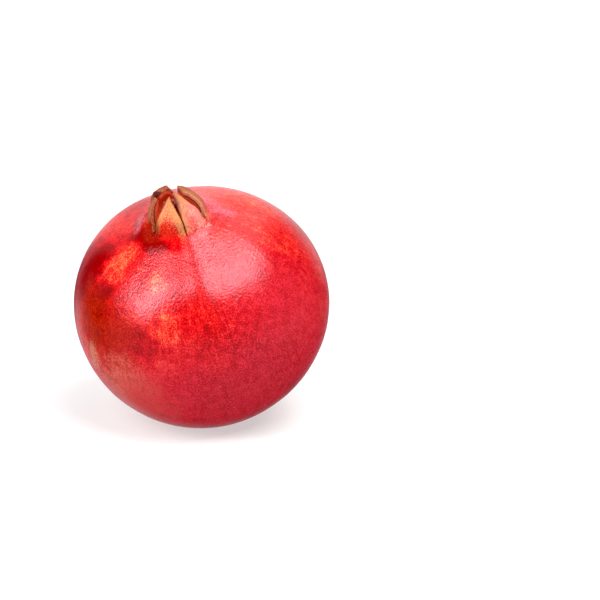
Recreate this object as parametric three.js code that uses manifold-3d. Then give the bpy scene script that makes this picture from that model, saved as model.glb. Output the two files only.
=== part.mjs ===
// A whole ripe pomegranate, resting on a small flat spot, in millimetres with +Z up.
// The origin is the middle of the flat spot. The crown, which is the dried calyx, leans towards -Y.
// The fruit is worked out about its own axis first: its middle at zero, the crown up the local +Z, azimuths
// counted from the local -Y towards +X. It is then leant over and stood on the flat spot.

import * as THREE from 'three';
import { mergeVertices } from 'three/addons/utils/BufferGeometryUtils.js';
import Module from 'manifold-3d';

const wasm = await Module();
wasm.setup();

// Body
const EQUATOR_RADIUS = 46.6;
const POLE_RADIUS = 42.8;
const AXIS_LEAN = 24.2; // degrees from upright
const BODY_MIDDLE = new THREE.Vector3(-0.64, 2.72, 42.2); // above the middle of the flat spot
const SIDE_SWELL = { share: 0.0105, azimuth: -62 }; // one side stands out further than the other
const SHOULDER_SWELL = { share: 0.0076, azimuth: -62 }; // and its shoulder stands higher
const OVAL_SWELL = { share: 0.0094, azimuth: 73 }; // the outline from above is slightly oval
const THREE_SIDED_SWELL = { share: 0.0125, azimuth: 17.5 }; // and slightly three-sided

// The shoulder sinks a little round the crown
const SHOULDER_DIP = 1.3;
const SHOULDER_DIP_MIDDLE = 30; // polar angle, degrees
const SHOULDER_DIP_REACH = 14;

// Low ribs that run down from some of the crown's slits and fade out at the equator
const RIB_HALF_WIDTH = 15; // degrees of azimuth
const RIB_DRIFT = 0.2; // degrees of azimuth that a rib turns back for each degree that it runs down
const RIB_TOP = 38; // polar angle where a rib stands highest, degrees
const RIB_REACH = 26; // polar angle over which it fades, degrees

// Flare, where the skin sweeps up into the crown
const CROWN_BASE = 41.5; // height of the crown's base on the fruit's axis
const FLARE_POLAR_ANGLE = 14;
const FLARE = { height: 1, reach: 8 }; // reach in degrees of polar angle
const HIGH_FLARE = { height: 3.2, reach: 11 }; // it stands up higher on one side
const HIGH_FLARE_AZIMUTH = -50;
const HIGH_FLARE_HALF_WIDTH = 60; // degrees of azimuth
const FLARE_SHARE_AT_SLIT = 0.65;
const FLARE_SLIT_HALF_WIDTH = 30; // degrees of azimuth
const FLARE_POWER = 1.6; // the greater, the softer its foot

// Cup inside the crown
const CUP_FLOOR = 0.6; // all crown heights are above the crown's base
const CUP_FLOOR_RADIUS = 6.4;
const CUP_RADIUS = 8.4;
const CUP_SHOULDER = 3.2;
const CUP_TOP = 7;

// Sepals. Each runs between two slits and bends over to its tip, along a curve through
// [distance from the axis, height].
// taper says how late each edge leaves its slit for the tip: 1 is at once, 6 is near the top.
// thickness is at the root and at the tip, and rib is the height of the rib below the slit that it
// runs to.
const SEPAL_ROOT = [11.5, -1.5];
const SLIT_GAP = 0.45;
const TIGHTEST_WRAP = 2.6; // a sepal is wrapped round the axis, but never tighter than this radius
// A sepal's cross-section is an oval with these powers on its cosine and sine: smaller is blunter
const EDGE_POWER = 0.8;
const FACE_POWER = 0.35;
const SEPALS = [
  {
    from: -8, to: 48.5, tip: 25, taper: [1.8, 4], thickness: [2.3, 1.4],
    bend: [[12.2, 6.5], [7.6, 10.5]], end: [2.4, 12.2], tipHalfWidth: 0.5, rib: 0.6,
  },
  {
    from: 48.5, to: 103.5, tip: 72.6, taper: [5.5, 1.1], thickness: [2.3, 1.4],
    bend: [[12.2, 6], [7, 12.2]], end: [2.3, 13.2], tipHalfWidth: 0.5, rib: 0.3,
  },
  {
    from: 103.5, to: 196, tip: 147, taper: [1.9, 6], thickness: [1.8, 2.8],
    bend: [[12.2, 4.6], [7.2, 10.8]], end: [4.3, 10.4], tipHalfWidth: 1.4, rib: 0,
  },
  {
    from: 196, to: 266, tip: 239, taper: [0.7, 2], thickness: [2.3, 3.6],
    bend: [[11.3, 4], [9.2, 8.6]], end: [6.2, 11.2], tipHalfWidth: 2.9, rib: 0,
  },
  {
    from: 266, to: 352, tip: 286, taper: [2.5, 1.2], thickness: [3, 2.4],
    bend: [[9.8, 5], [8.3, 8]], end: [6, 9.4], tipHalfWidth: 1.2, rib: 0.3,
  },
];

// Slits, cut down into the flare between the sepals
const SLIT_FOOT = -0.2;
const SLIT_REACH = [6, 12.7]; // distance from the axis
const SLIT_WIDTH = [0.3, 0.6]; // at the foot and at the top
const SLIT_TOP = 6;

// Stem stub at the far end of the axis, in a shallow dimple
const DIMPLE_DEPTH = 1.6;
const DIMPLE_RADIUS = 7;
const STUB_RADIUS = 2.7;
const STUB_OUT_OF_ROUND = 0.06;
// The stub's own outline from its broken end inwards: [share of the radius, height above the dimple]
const STUB_OUTLINE = [[0.88, -3.6], [1, -3.1], [0.92, -1.8], [1.35, 0.4], [1.35, 5]];

// Dried stamens, a tuft on a small pad that lies in the cup
const TUFT_CLEARANCE = 0.35;
const PAD_RADIUS = 5.8;
const PAD_THICKNESS = 0.9;
const STAMEN_COUNT = 30;
const GOLDEN_TURN = 137.5; // degrees from one stamen to the next
const FILAMENT_RADIUS = 0.36;
const ANTHER_RADIUS = 0.7;
const STAMEN_HEIGHT = [4.8, 7.8];
const STAMEN_SINK = 0.5; // into the pad
const STAMEN_WANDER = 30; // degrees
const STAMEN_BOW = 1.25;
const TUFT_SPREAD = 3.2;
const TUFT_LEAN = { distance: 1.3, azimuth: 40 }; // away from the sepal that is folded in
const TUFT_SEED = 7;

// Fineness of the meshes
const BODY_COLUMNS = 62;
const POLAR_ANGLES = [8, 12.5, 14, 14.7, 15.5, 16.5, 17.8, 19.6, 22, 25.5];
const POLAR_STEP = 5;
const LAST_POLAR_ANGLE = 176;
const SEPAL_RINGS = 13;
const SEPAL_RING_POINTS = 16;
const STUB_SIDES = 12;
const TURNED_SIDES = 28;
const FILAMENT_SIDES = 4;
const FILAMENT_STEPS = 3;

const SKIN_LOOK = { color: 0xc21a22, roughness: 0.38, metalness: 0 };
const STAMEN_LOOK = { color: 0xa8541f, roughness: 0.85, metalness: 0 };

const radians = THREE.MathUtils.degToRad;
const { clamp, lerp, smoothstep } = THREE.MathUtils;

// A point from its distance to the axis, its azimuth in degrees and its height
function around(distance, azimuth, height) {
  const angle = radians(azimuth);
  return new THREE.Vector3(distance * Math.sin(angle), -distance * Math.cos(angle), height);
}

// The closed body through a row of rings, each a loop of points, with a fan to a middle point at each end
function loft(rings) {
  const size = rings[0].length;
  const middles = [rings[0], rings.at(-1)].map((ring) => (
    ring.reduce((sum, point) => sum.add(point), new THREE.Vector3()).divideScalar(size)));
  const points = [...rings.flat(), ...middles];
  const last = (rings.length - 1) * size;
  const faces = [];
  for (let i = 0; i < size; i += 1) {
    const next = (i + 1) % size;
    for (let row = 0; row < last; row += size) {
      faces.push(row + i, row + next, row + size + next, row + i, row + size + next, row + size + i);
    }
    faces.push(rings.length * size, next, i, rings.length * size + 1, last + i, last + next);
  }
  const geometry = new THREE.BufferGeometry();
  const numbers = points.flatMap((point) => point.toArray());
  geometry.setAttribute('position', new THREE.Float32BufferAttribute(numbers, 3));
  geometry.setIndex(faces);
  return geometry;
}

// The same shape as a solid, for joining and cutting
function solid(geometry) {
  const plain = geometry.clone();
  plain.deleteAttribute('normal');
  plain.deleteAttribute('uv');
  const merged = mergeVertices(plain, 1e-4);
  return new wasm.Manifold(new wasm.Mesh({
    numProp: 3,
    vertProperties: new Float32Array(merged.attributes.position.array),
    triVerts: new Uint32Array(merged.index.array),
  }));
}

// A solid's surface as a geometry again
function surface(shape) {
  const mesh = shape.getMesh();
  const geometry = new THREE.BufferGeometry();
  geometry.setAttribute('position', new THREE.BufferAttribute(new Float32Array(mesh.vertProperties), 3));
  geometry.setIndex(new THREE.BufferAttribute(new Uint32Array(mesh.triVerts), 1));
  geometry.computeVertexNormals();
  return geometry;
}

// Random numbers from 0 to 1 that come out the same each time
function seededRandom(seed) {
  let draws = 0;
  return () => {
    draws += 1;
    return THREE.MathUtils.seededRandom(seed + draws);
  };
}

// A sine or cosine raised to a power that keeps its sign, so that an oval drawn with it is blunter
const rounded = (value, power) => Math.sign(value) * Math.abs(value) ** power;

// Degrees from one azimuth to the other, from -180 to 180
const turnBetween = (a, b) => THREE.MathUtils.euclideanModulo(a - b + 180, 360) - 180;

// How near one azimuth is to another: 1 where they are the same, 0 beyond the given half width
const nearness = (azimuth, middle, halfWidth) => (
  1 - smoothstep(Math.abs(turnBetween(azimuth, middle)), 0, halfWidth));

// 1 in the middle of a soft hump, falling to 0.37 at its reach
const hump = (place, middle, reach) => Math.exp(-(((place - middle) / reach) ** 2));

// The share that the swells add to the radius at a polar angle and an azimuth
function swell(polar, azimuth) {
  const sine = Math.sin(radians(polar));
  const wave = (part, order) => part.share * Math.cos(radians(order * (azimuth - part.azimuth)));
  return wave(SIDE_SWELL, 1) * sine
    + wave(SHOULDER_SWELL, 1) * Math.sin(radians(2 * polar))
    + wave(OVAL_SWELL, 2) * sine ** 2
    + wave(THREE_SIDED_SWELL, 3) * sine ** 3;
}

// How far the ribs stand up from the skin
function ribHeight(polar, azimuth) {
  const middle = azimuth + RIB_DRIFT * (polar - FLARE_POLAR_ANGLE);
  const heights = SEPALS.map((sepal) => sepal.rib * nearness(middle, sepal.to, RIB_HALF_WIDTH));
  return Math.max(...heights) * hump(polar, RIB_TOP, RIB_REACH);
}

// How far the flare stands up from the skin, less at the slits than at the sepals
function flareHeight(polar, azimuth) {
  const slit = Math.max(...SEPALS.map((sepal) => nearness(azimuth, sepal.to, FLARE_SLIT_HALF_WIDTH)));
  const high = nearness(azimuth, HIGH_FLARE_AZIMUTH, HIGH_FLARE_HALF_WIDTH);
  const height = lerp(FLARE.height, HIGH_FLARE.height, high);
  const reach = lerp(FLARE.reach, HIGH_FLARE.reach, high);
  const climb = 1 - clamp((polar - FLARE_POLAR_ANGLE) / reach, 0, 1);
  return height * lerp(1, FLARE_SHARE_AT_SLIT, slit) * climb ** FLARE_POWER;
}

// Distance from the fruit's middle to its skin
function skinRadius(polar, azimuth) {
  const sine = Math.sin(radians(polar));
  const spheroid = 1 / Math.hypot(sine / EQUATOR_RADIUS, Math.cos(radians(polar)) / POLE_RADIUS);
  const dip = SHOULDER_DIP * hump(polar, SHOULDER_DIP_MIDDLE, SHOULDER_DIP_REACH);
  const fromStem = spheroid * sine;
  const dimple = polar > 90 ? DIMPLE_DEPTH * (1 - smoothstep(fromStem, 0, DIMPLE_RADIUS)) : 0;
  const raised = ribHeight(polar, azimuth) + flareHeight(polar, azimuth);
  return spheroid * (1 + swell(polar, azimuth)) + raised - dip - dimple;
}

function body() {
  const polars = [...POLAR_ANGLES];
  while (polars.at(-1) + POLAR_STEP < LAST_POLAR_ANGLE) polars.push(polars.at(-1) + POLAR_STEP);
  polars.push(LAST_POLAR_ANGLE);
  return loft(polars.map((polar) => Array.from({ length: BODY_COLUMNS }, (_, column) => {
    const azimuth = (360 * column) / BODY_COLUMNS;
    const radius = skinRadius(polar, azimuth);
    return around(radius * Math.sin(radians(polar)), azimuth, radius * Math.cos(radians(polar)));
  }).reverse()));
}

// One sepal: thick, rounded at its edges, wrapped round the axis and bent over to its tip
function sepalBlade({ from, to, tip, taper, thickness, bend, end, tipHalfWidth }) {
  const course = [SEPAL_ROOT, ...bend, end].map((pair) => new THREE.Vector2(...pair));
  const curve = new THREE.CubicBezierCurve(...course);
  const rings = [];
  for (let ring = 0; ring <= SEPAL_RINGS; ring += 1) {
    const along = ring / SEPAL_RINGS;
    const middle = curve.getPoint(along);
    const tangent = curve.getTangent(along);
    const thick = lerp(...thickness, along);
    const wrap = Math.max(middle.x, TIGHTEST_WRAP);
    const toSlit = (turn) => middle.x * radians(turn) - SLIT_GAP / 2;
    const left = lerp(toSlit(tip - from), tipHalfWidth, along ** taper[0]);
    const right = lerp(toSlit(to - tip), tipHalfWidth, along ** taper[1]);
    const points = [];
    for (let i = 0; i < SEPAL_RING_POINTS; i += 1) {
      const angle = (2 * Math.PI * i) / SEPAL_RING_POINTS;
      const across = 0.5 + 0.5 * rounded(Math.cos(angle), EDGE_POWER);
      const depth = 0.5 * thick * (1 - rounded(Math.sin(angle), FACE_POWER));
      const turn = lerp(right, -left, across) / wrap;
      const inner = wrap - depth * tangent.y;
      const height = CROWN_BASE + middle.y + depth * tangent.x;
      const point = around(middle.x - wrap + inner * Math.cos(turn), tip, height);
      points.push(point.add(around(inner * Math.sin(turn), tip + 90, 0)));
    }
    rings.push(points);
  }
  return loft(rings);
}

// The narrow wedge that parts two sepals at their roots
function slitWedge(azimuth) {
  const [footHalf, topHalf] = SLIT_WIDTH.map((width) => width / 2);
  const corners = [
    [-footHalf, SLIT_FOOT], [footHalf, SLIT_FOOT], [topHalf, SLIT_TOP], [-topHalf, SLIT_TOP],
  ];
  return loft(SLIT_REACH.map((distance) => corners.map(([sideways, height]) => (
    around(distance, azimuth, CROWN_BASE + height).add(around(sideways, azimuth + 90, 0))))));
}

// A round body from an outline of [radius, height], lathed about the fruit's axis
function turned(outline) {
  const points = outline.map((pair) => new THREE.Vector2(...pair));
  return new THREE.LatheGeometry(points, TURNED_SIDES).rotateX(Math.PI / 2);
}

function cupSpace() {
  return turned([
    [0, CUP_FLOOR], [CUP_FLOOR_RADIUS, CUP_FLOOR], [CUP_RADIUS, CUP_SHOULDER],
    [CUP_RADIUS, CUP_TOP], [0, CUP_TOP],
  ]).translate(0, 0, CROWN_BASE);
}

function tuftPad(foot, top) {
  return turned([[0, foot], [PAD_RADIUS, foot], [PAD_RADIUS, top], [0, top]]);
}

function stemStub() {
  const seat = DIMPLE_DEPTH - POLE_RADIUS;
  return loft(STUB_OUTLINE.map(([share, height]) => Array.from({ length: STUB_SIDES }, (_, i) => {
    const azimuth = (360 * i) / STUB_SIDES;
    const outOfRound = 1 + STUB_OUT_OF_ROUND * Math.cos(radians(3 * azimuth));
    return around(STUB_RADIUS * share * outOfRound, azimuth, seat + height);
  })));
}

// One stamen: a filament that rises from the pad and leans to the middle, with its anther at the end
function stamen(foot, head) {
  const bow = new THREE.Vector3().lerpVectors(foot, head, 0.5);
  bow.x *= STAMEN_BOW;
  bow.y *= STAMEN_BOW;
  const curve = new THREE.QuadraticBezierCurve3(foot, bow, head);
  const circle = new THREE.EllipseCurve(0, 0, FILAMENT_RADIUS, FILAMENT_RADIUS);
  const section = new THREE.Shape(circle.getPoints(FILAMENT_SIDES).slice(1));
  const filament = new THREE.ExtrudeGeometry(section, { steps: FILAMENT_STEPS, extrudePath: curve });
  const anther = new THREE.OctahedronGeometry(ANTHER_RADIUS, 0).translate(head.x, head.y, head.z);
  return solid(filament).add(solid(anther));
}

function stamenTuft() {
  const random = seededRandom(TUFT_SEED);
  const padFoot = CROWN_BASE + CUP_FLOOR + TUFT_CLEARANCE;
  const padTop = padFoot + PAD_THICKNESS;
  let tuft = solid(tuftPad(padFoot, padTop));
  for (let i = 0; i < STAMEN_COUNT; i += 1) {
    const out = Math.sqrt((i + 0.5) / STAMEN_COUNT);
    const azimuth = i * GOLDEN_TURN;
    const foot = around(out * (PAD_RADIUS - 2 * FILAMENT_RADIUS), azimuth, padTop - STAMEN_SINK);
    const headHeight = padTop + lerp(...STAMEN_HEIGHT, random());
    const head = around(out * TUFT_SPREAD, azimuth + STAMEN_WANDER * (random() - 0.5), headHeight);
    tuft = tuft.add(stamen(foot, head.add(around(TUFT_LEAN.distance, TUFT_LEAN.azimuth, 0))));
  }
  return tuft;
}

// Everything below the surface that the fruit rests on
function ground() {
  const size = 4 * EQUATOR_RADIUS;
  return solid(new THREE.BoxGeometry(size, size, size).translate(0, 0, -size / 2));
}

// Leans a geometry over with the fruit and stands it on the flat spot
function stand(geometry) {
  return geometry.rotateX(radians(AXIS_LEAN)).translate(BODY_MIDDLE.x, BODY_MIDDLE.y, BODY_MIDDLE.z);
}

function fruitSolid() {
  let fruit = solid(stand(body())).add(solid(stand(stemStub()))).subtract(solid(stand(cupSpace())));
  for (const sepal of SEPALS) fruit = fruit.subtract(solid(stand(slitWedge(sepal.to))));
  for (const sepal of SEPALS) fruit = fruit.add(solid(stand(sepalBlade(sepal))));
  return fruit.subtract(ground());
}

function piece(name, geometry, look) {
  const mesh = new THREE.Mesh(geometry, new THREE.MeshStandardMaterial(look));
  mesh.name = name;
  return mesh;
}

const pomegranate = new THREE.Group();
pomegranate.add(piece('fruit', surface(fruitSolid()), SKIN_LOOK));
pomegranate.add(piece('stamens', stand(surface(stamenTuft())), STAMEN_LOOK));

export default pomegranate;
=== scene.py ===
"""Dresses a whole pomegranate: its skin and crown, its dry stem stub and the stamens in its crown.

Lengths in the code are in millimetres and angles in degrees unless a name says otherwise. The fruit is
worked out about its own axis first, with the crown up the local +Z and azimuths counted from the local -Y
towards +X, and each mesh is then stood on the fruit's flat spot, in metres.
"""

import logging
import math
import random
from dataclasses import dataclass, field
from enum import Enum
from typing import ClassVar

import bmesh
import bpy
from mathutils import Matrix, Vector, noise

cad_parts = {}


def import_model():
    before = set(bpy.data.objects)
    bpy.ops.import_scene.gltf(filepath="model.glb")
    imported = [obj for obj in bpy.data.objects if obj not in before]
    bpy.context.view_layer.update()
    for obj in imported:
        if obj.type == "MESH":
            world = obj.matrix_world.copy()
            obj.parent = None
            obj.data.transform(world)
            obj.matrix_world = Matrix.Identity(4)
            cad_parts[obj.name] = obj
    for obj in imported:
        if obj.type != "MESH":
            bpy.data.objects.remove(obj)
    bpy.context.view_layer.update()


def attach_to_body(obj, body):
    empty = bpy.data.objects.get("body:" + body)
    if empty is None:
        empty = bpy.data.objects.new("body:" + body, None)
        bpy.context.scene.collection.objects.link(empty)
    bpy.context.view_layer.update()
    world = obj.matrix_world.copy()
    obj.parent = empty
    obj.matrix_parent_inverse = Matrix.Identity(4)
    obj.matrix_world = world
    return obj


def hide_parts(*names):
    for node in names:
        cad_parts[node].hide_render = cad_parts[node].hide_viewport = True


MM = 0.001
LOG = logging.getLogger("pomegranate")

Colour = tuple[float, float, float]
Shades = tuple[Colour, Colour]
Pair = tuple[float, float]
Socket = bpy.types.NodeSocket


def lerp(start: float, stop: float, share: float) -> float:
    """Return the number a share of the way from start to stop."""
    return start + (stop - start) * share


def smooth_step(value: float, low: float, high: float) -> float:
    """Return 0 below low, 1 above high and a smooth rise between them."""
    share = min(max((value - low) / (high - low), 0.0), 1.0)
    return share * share * (3 - 2 * share)


def around(distance: float, azimuth: float, height: float) -> Vector:
    """Return a point about the fruit's axis.

    Args:
        distance: From the axis.
        azimuth: About the axis, from the local -Y towards +X.
        height: Along the axis, above the fruit's middle.

    Returns:
        The point, in millimetres.
    """
    angle = math.radians(azimuth)
    return Vector((distance * math.sin(angle), -distance * math.cos(angle), height))


def azimuth_of(point: Vector) -> float:
    """Return the azimuth of a point about the fruit's axis."""
    return math.degrees(math.atan2(point.x, -point.y))


def turn_between(first: float, second: float) -> float:
    """Return the degrees from one azimuth to the other, from -180 to 180."""
    return (first - second + 180) % 360 - 180


def deselect_all() -> None:
    """Deselect every object, so that an operator acts on what it is meant for."""
    bpy.ops.object.select_all(action="DESELECT")


def apply_modifier(piece: bpy.types.Object, kind: str, **settings: object) -> None:
    """Add a modifier to a piece and apply it.

    Args:
        piece: The object to finish.
        kind: Blender's name of the modifier type.
        **settings: The modifier's own settings.
    """
    modifier = piece.modifiers.new(kind.title(), kind)
    for name, value in settings.items():
        setattr(modifier, name, value)
    deselect_all()
    piece.select_set(True)
    bpy.context.view_layer.objects.active = piece
    bpy.ops.object.modifier_apply(modifier=modifier.name)


def shade_smooth(piece: bpy.types.Object) -> None:
    """Shade a piece smooth.

    Args:
        piece: The object to shade.
    """
    deselect_all()
    piece.select_set(True)
    bpy.ops.object.shade_smooth()


def add_cylinder(sides: int, radius: float, depth: float, middle: float) -> bpy.types.Object:
    """Add a closed cylinder about the Z axis, with its place kept in its mesh.

    Args:
        sides: Its number of sides.
        radius: Its radius.
        depth: Its length.
        middle: The height of its middle.

    Returns:
        The cylinder.
    """
    deselect_all()
    bpy.ops.mesh.primitive_cylinder_add(
        vertices=sides, radius=radius, depth=depth, location=(0, 0, middle)
    )
    bpy.ops.object.transform_apply(location=True, rotation=True, scale=True)
    return bpy.context.object


def open_faces(piece: bpy.types.Object) -> bmesh.types.BMesh:
    """Open a piece in edit mode, to pick faces, with nothing selected.

    Args:
        piece: The object to edit.

    Returns:
        Its mesh as it is edited.
    """
    deselect_all()
    piece.select_set(True)
    bpy.context.view_layer.objects.active = piece
    bpy.ops.object.mode_set(mode="EDIT")
    bpy.ops.mesh.select_mode(type="FACE")
    bpy.ops.mesh.select_all(action="DESELECT")
    return bmesh.from_edit_mesh(piece.data)


class End(Enum):
    """The two ends of a cylinder, by the height of their faces' normals."""

    TOP = 1.0
    FOOT = -1.0


def open_end(piece: bpy.types.Object, end: End) -> None:
    """Open a cylinder in edit mode with only the face at one end selected.

    Args:
        piece: The cylinder.
        end: The end whose face is selected.
    """
    mesh = open_faces(piece)
    for face in mesh.faces:
        face.select_set(face.normal.z * end.value > 0.9)
    bmesh.update_edit_mesh(piece.data)


@dataclass(frozen=True)
class Stance:
    """Where the fruit's own axis stands above its flat spot.

    Attributes:
        middle: The fruit's middle, in millimetres.
        lean: Degrees that the crown leans from upright towards -Y.
    """

    middle: tuple[float, float, float] = (-0.64, 2.72, 42.2)
    lean: float = 24.2

    def matrix(self) -> Matrix:
        """Return the matrix from the fruit's own millimetres to the frame's metres."""
        place = Matrix.Translation(Vector(self.middle) * MM)
        return place @ Matrix.Rotation(math.radians(self.lean), 4, "X") @ Matrix.Scale(MM, 4)


@dataclass(frozen=True)
class Wave:
    """A swelling of the fruit that repeats round its axis.

    Attributes:
        share: Its height, as a share of the radius.
        azimuth: Azimuth of one of its crests.
        order: How many crests it has.
    """

    share: float
    azimuth: float
    order: int

    def at(self, azimuth: float) -> float:
        """Return the share that the wave adds to the radius at an azimuth."""
        return self.share * math.cos(math.radians(self.order * (azimuth - self.azimuth)))


@dataclass(frozen=True)
class Sepal:
    """One thick dried sepal, which runs between two slits and bends over to its tip.

    Attributes:
        start: Azimuth of the slit where it starts.
        stop: Azimuth of the slit where it stops.
        tip: Azimuth of its tip.
        taper: How late each edge leaves its slit for the tip, where 1 is at once and 6 near the top.
        bend: Two points that pull its curve, each a distance from the axis and a height.
        end: The curve's end, as a distance from the axis and a height.
        tip_half_width: Half its width at the tip.
        rib: Height of the rib below the slit where it stops.
        tip_thickness: Thickness at the tip.
        root_thickness: Thickness at the root.
    """

    start: float
    stop: float
    tip: float
    taper: Pair
    bend: tuple[Pair, Pair]
    end: Pair
    tip_half_width: float
    rib: float
    tip_thickness: float
    root_thickness: float = 2.3


# The two in front, the right one, the blunt one at the back and the left one.
SEPALS = (
    Sepal(-13, 48.5, 25, (2.2, 4.0), ((12.2, 6.5), (7.6, 10.5)), (2.4, 12.2), 0.4, 0.6, 1.4),
    Sepal(48.5, 103.5, 72.6, (5.5, 0.95), ((12.2, 6), (7, 12.2)), (2.3, 13.2), 0.5, 0.3, 1.4),
    Sepal(103.5, 196, 147, (1.9, 6), ((12.2, 4.6), (7.2, 10.8)), (4.3, 10.4), 1.4, 0.0, 3.0, 1.7),
    Sepal(196, 266, 243, (0.7, 2.6), ((11.3, 4), (9.6, 8.8)), (6.4, 10.9), 2.9, 0.0, 3.8),
    Sepal(266, 347, 286, (2.5, 1.2), ((9.8, 5), (8.3, 8)), (6.0, 9.4), 1.2, 0.3, 2.4, 3.0),
)


@dataclass(frozen=True)
class FruitForm:
    """The shape of the fruit's skin and crown about its own axis.

    Attributes:
        equator_radius: Radius of the plain spheroid at its equator.
        pole_radius: Its radius along the axis.
        side_swell: Makes one side fuller.
        shoulder_swell: Makes one shoulder fuller.
        oval_swell: Makes the fruit slightly oval.
        three_sided_swell: Makes the fruit slightly three-sided.
        shoulder_dip: How far the shoulder dips in.
        shoulder_dip_middle: Polar angle of that dip.
        shoulder_dip_reach: Degrees that it reaches up and down.
        rib_half_width: Half the width of a rib below a slit.
        rib_drift: Degrees that a rib drifts round for each degree that it runs down.
        rib_top: Polar angle where a rib is highest.
        rib_reach: Degrees that a rib reaches up and down from there.
        flare_polar: Polar angle where the skin flares most into the crown.
        flare_height: How far it flares there.
        flare_reach: Degrees down the fruit where the flare has faded.
        flare_power: How soon it fades.
        high_flare_height: The same as flare_height where the flare is highest.
        high_flare_reach: The same as flare_reach there.
        high_flare_azimuth: Azimuth where the flare is highest.
        high_flare_half_width: Degrees from there to where it is plain again.
        flare_share_at_slit: Share of the flare that is left below a slit.
        flare_slit_half_width: Degrees from the slit to where the flare is whole again.
        dimple_depth: Depth of the dimple round the stem.
        dimple_radius: Radius of that dimple.
        crown_base: Height that the crown's own heights are counted from.
        cup_floor: Height of the cup's floor.
        cup_floor_radius: Radius of the cup at its floor.
        cup_radius: Radius of the cup at its shoulder.
        cup_shoulder: Height of the cup's shoulder.
        sepal_root: Where a sepal's curve starts, as a distance from the axis and a height.
        slit_gap: Width of the slits.
        tightest_wrap: Least radius that a sepal curves to across its width.
        tip_start: Share of the way along a sepal where it starts to round off.
        tip_bluntness: How far it has rounded off at its end, where 1 is to a point.
        rim_polar: Polar angle of the rim, where skin and sepals meet.
        rim_share: Share of the way along a sepal where the rim lies.
        flare_share: Share of the way along a sepal that is level with the flare's top.
        narrowest_polar: Least polar angle of the skin that a sepal grows out of.
        skin_fade: Shares of the way along where a sepal's outer face leaves the skin.
        cup_fade: Shares of the way along where its inner face leaves the cup.
    """

    equator_radius: float = 46.6
    pole_radius: float = 42.8
    side_swell: Wave = Wave(0.0105, -62, 1)
    shoulder_swell: Wave = Wave(0.0076, -62, 1)
    oval_swell: Wave = Wave(0.0094, 73, 2)
    three_sided_swell: Wave = Wave(0.0125, 17.5, 3)
    shoulder_dip: float = 1.3
    shoulder_dip_middle: float = 30
    shoulder_dip_reach: float = 14
    rib_half_width: float = 15
    rib_drift: float = 0.2
    rib_top: float = 38
    rib_reach: float = 26
    flare_polar: float = 14
    flare_height: float = 1.0
    flare_reach: float = 8
    flare_power: float = 1.6
    high_flare_height: float = 3.2
    high_flare_reach: float = 11
    high_flare_azimuth: float = -50
    high_flare_half_width: float = 60
    flare_share_at_slit: float = 0.65
    flare_slit_half_width: float = 30
    dimple_depth: float = 1.6
    dimple_radius: float = 7
    crown_base: float = 41.5
    cup_floor: float = 0.6
    cup_floor_radius: float = 6.4
    cup_radius: float = 8.4
    cup_shoulder: float = 3.2
    sepal_root: Pair = (11.5, -1.5)
    slit_gap: float = 0.3
    tightest_wrap: float = 2.6
    tip_start: float = 0.86
    tip_bluntness: float = 0.95
    rim_polar: float = 16.6
    rim_share: float = 0.09
    flare_share: float = 0.2
    narrowest_polar: float = 12.8
    skin_fade: Pair = (0.12, 0.27)
    cup_fade: Pair = (0.12, 0.36)

    @staticmethod
    def nearness(azimuth: float, middle: float, half_width: float) -> float:
        """Return 1 where an azimuth is the middle one, falling to 0 at the half width from it."""
        return 1 - smooth_step(abs(turn_between(azimuth, middle)), 0, half_width)

    def rib_height(self, polar: float, azimuth: float) -> float:
        """Work out how far the ribs below the slits stand up from the skin.

        Args:
            polar: Angle from the crown's end of the axis.
            azimuth: Azimuth about the axis.

        Returns:
            The height.
        """
        middle = azimuth + self.rib_drift * (polar - self.flare_polar)
        heights = (
            sepal.rib * self.nearness(middle, sepal.stop, self.rib_half_width) for sepal in SEPALS
        )
        return max(heights) * math.exp(-(((polar - self.rib_top) / self.rib_reach) ** 2))

    def flare(self, polar: float, azimuth: float) -> float:
        """Work out how far the flare stands up, less at the slits than at the sepals.

        Args:
            polar: Angle from the crown's end of the axis.
            azimuth: Azimuth about the axis.

        Returns:
            The height.
        """
        slit = max(self.nearness(azimuth, sepal.stop, self.flare_slit_half_width) for sepal in SEPALS)
        high = self.nearness(azimuth, self.high_flare_azimuth, self.high_flare_half_width)
        height = lerp(self.flare_height, self.high_flare_height, high)
        reach = lerp(self.flare_reach, self.high_flare_reach, high)
        climb = 1 - min(max(0.0, polar - self.flare_polar) / reach, 1.0)
        return height * lerp(1, self.flare_share_at_slit, slit) * climb**self.flare_power

    def swell(self, polar: float, azimuth: float) -> float:
        """Work out what the swells add to the radius.

        Args:
            polar: Angle from the crown's end of the axis.
            azimuth: Azimuth about the axis.

        Returns:
            Their height, as a share of the radius.
        """
        sine = math.sin(math.radians(polar))
        return (
            self.side_swell.at(azimuth) * sine
            + self.shoulder_swell.at(azimuth) * math.sin(math.radians(2 * polar))
            + self.oval_swell.at(azimuth) * sine**2
            + self.three_sided_swell.at(azimuth) * sine**3
        )

    def skin_radius(self, polar: float, azimuth: float) -> float:
        """Return the distance from the fruit's middle to its skin.

        Args:
            polar: Angle from the crown's end of the axis.
            azimuth: Azimuth about the axis.

        Returns:
            The radius in that direction.
        """
        sine, cosine = math.sin(math.radians(polar)), math.cos(math.radians(polar))
        spheroid = 1 / math.hypot(sine / self.equator_radius, cosine / self.pole_radius)
        dip_fade = math.exp(-(((polar - self.shoulder_dip_middle) / self.shoulder_dip_reach) ** 2))
        dimple = 0.0
        if polar > 90:
            dimple = self.dimple_depth * (1 - smooth_step(spheroid * sine, 0, self.dimple_radius))
        body = spheroid * (1 + self.swell(polar, azimuth))
        raised = self.rib_height(polar, azimuth) + self.flare(polar, azimuth)
        return body + raised - self.shoulder_dip * dip_fade - dimple

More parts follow.
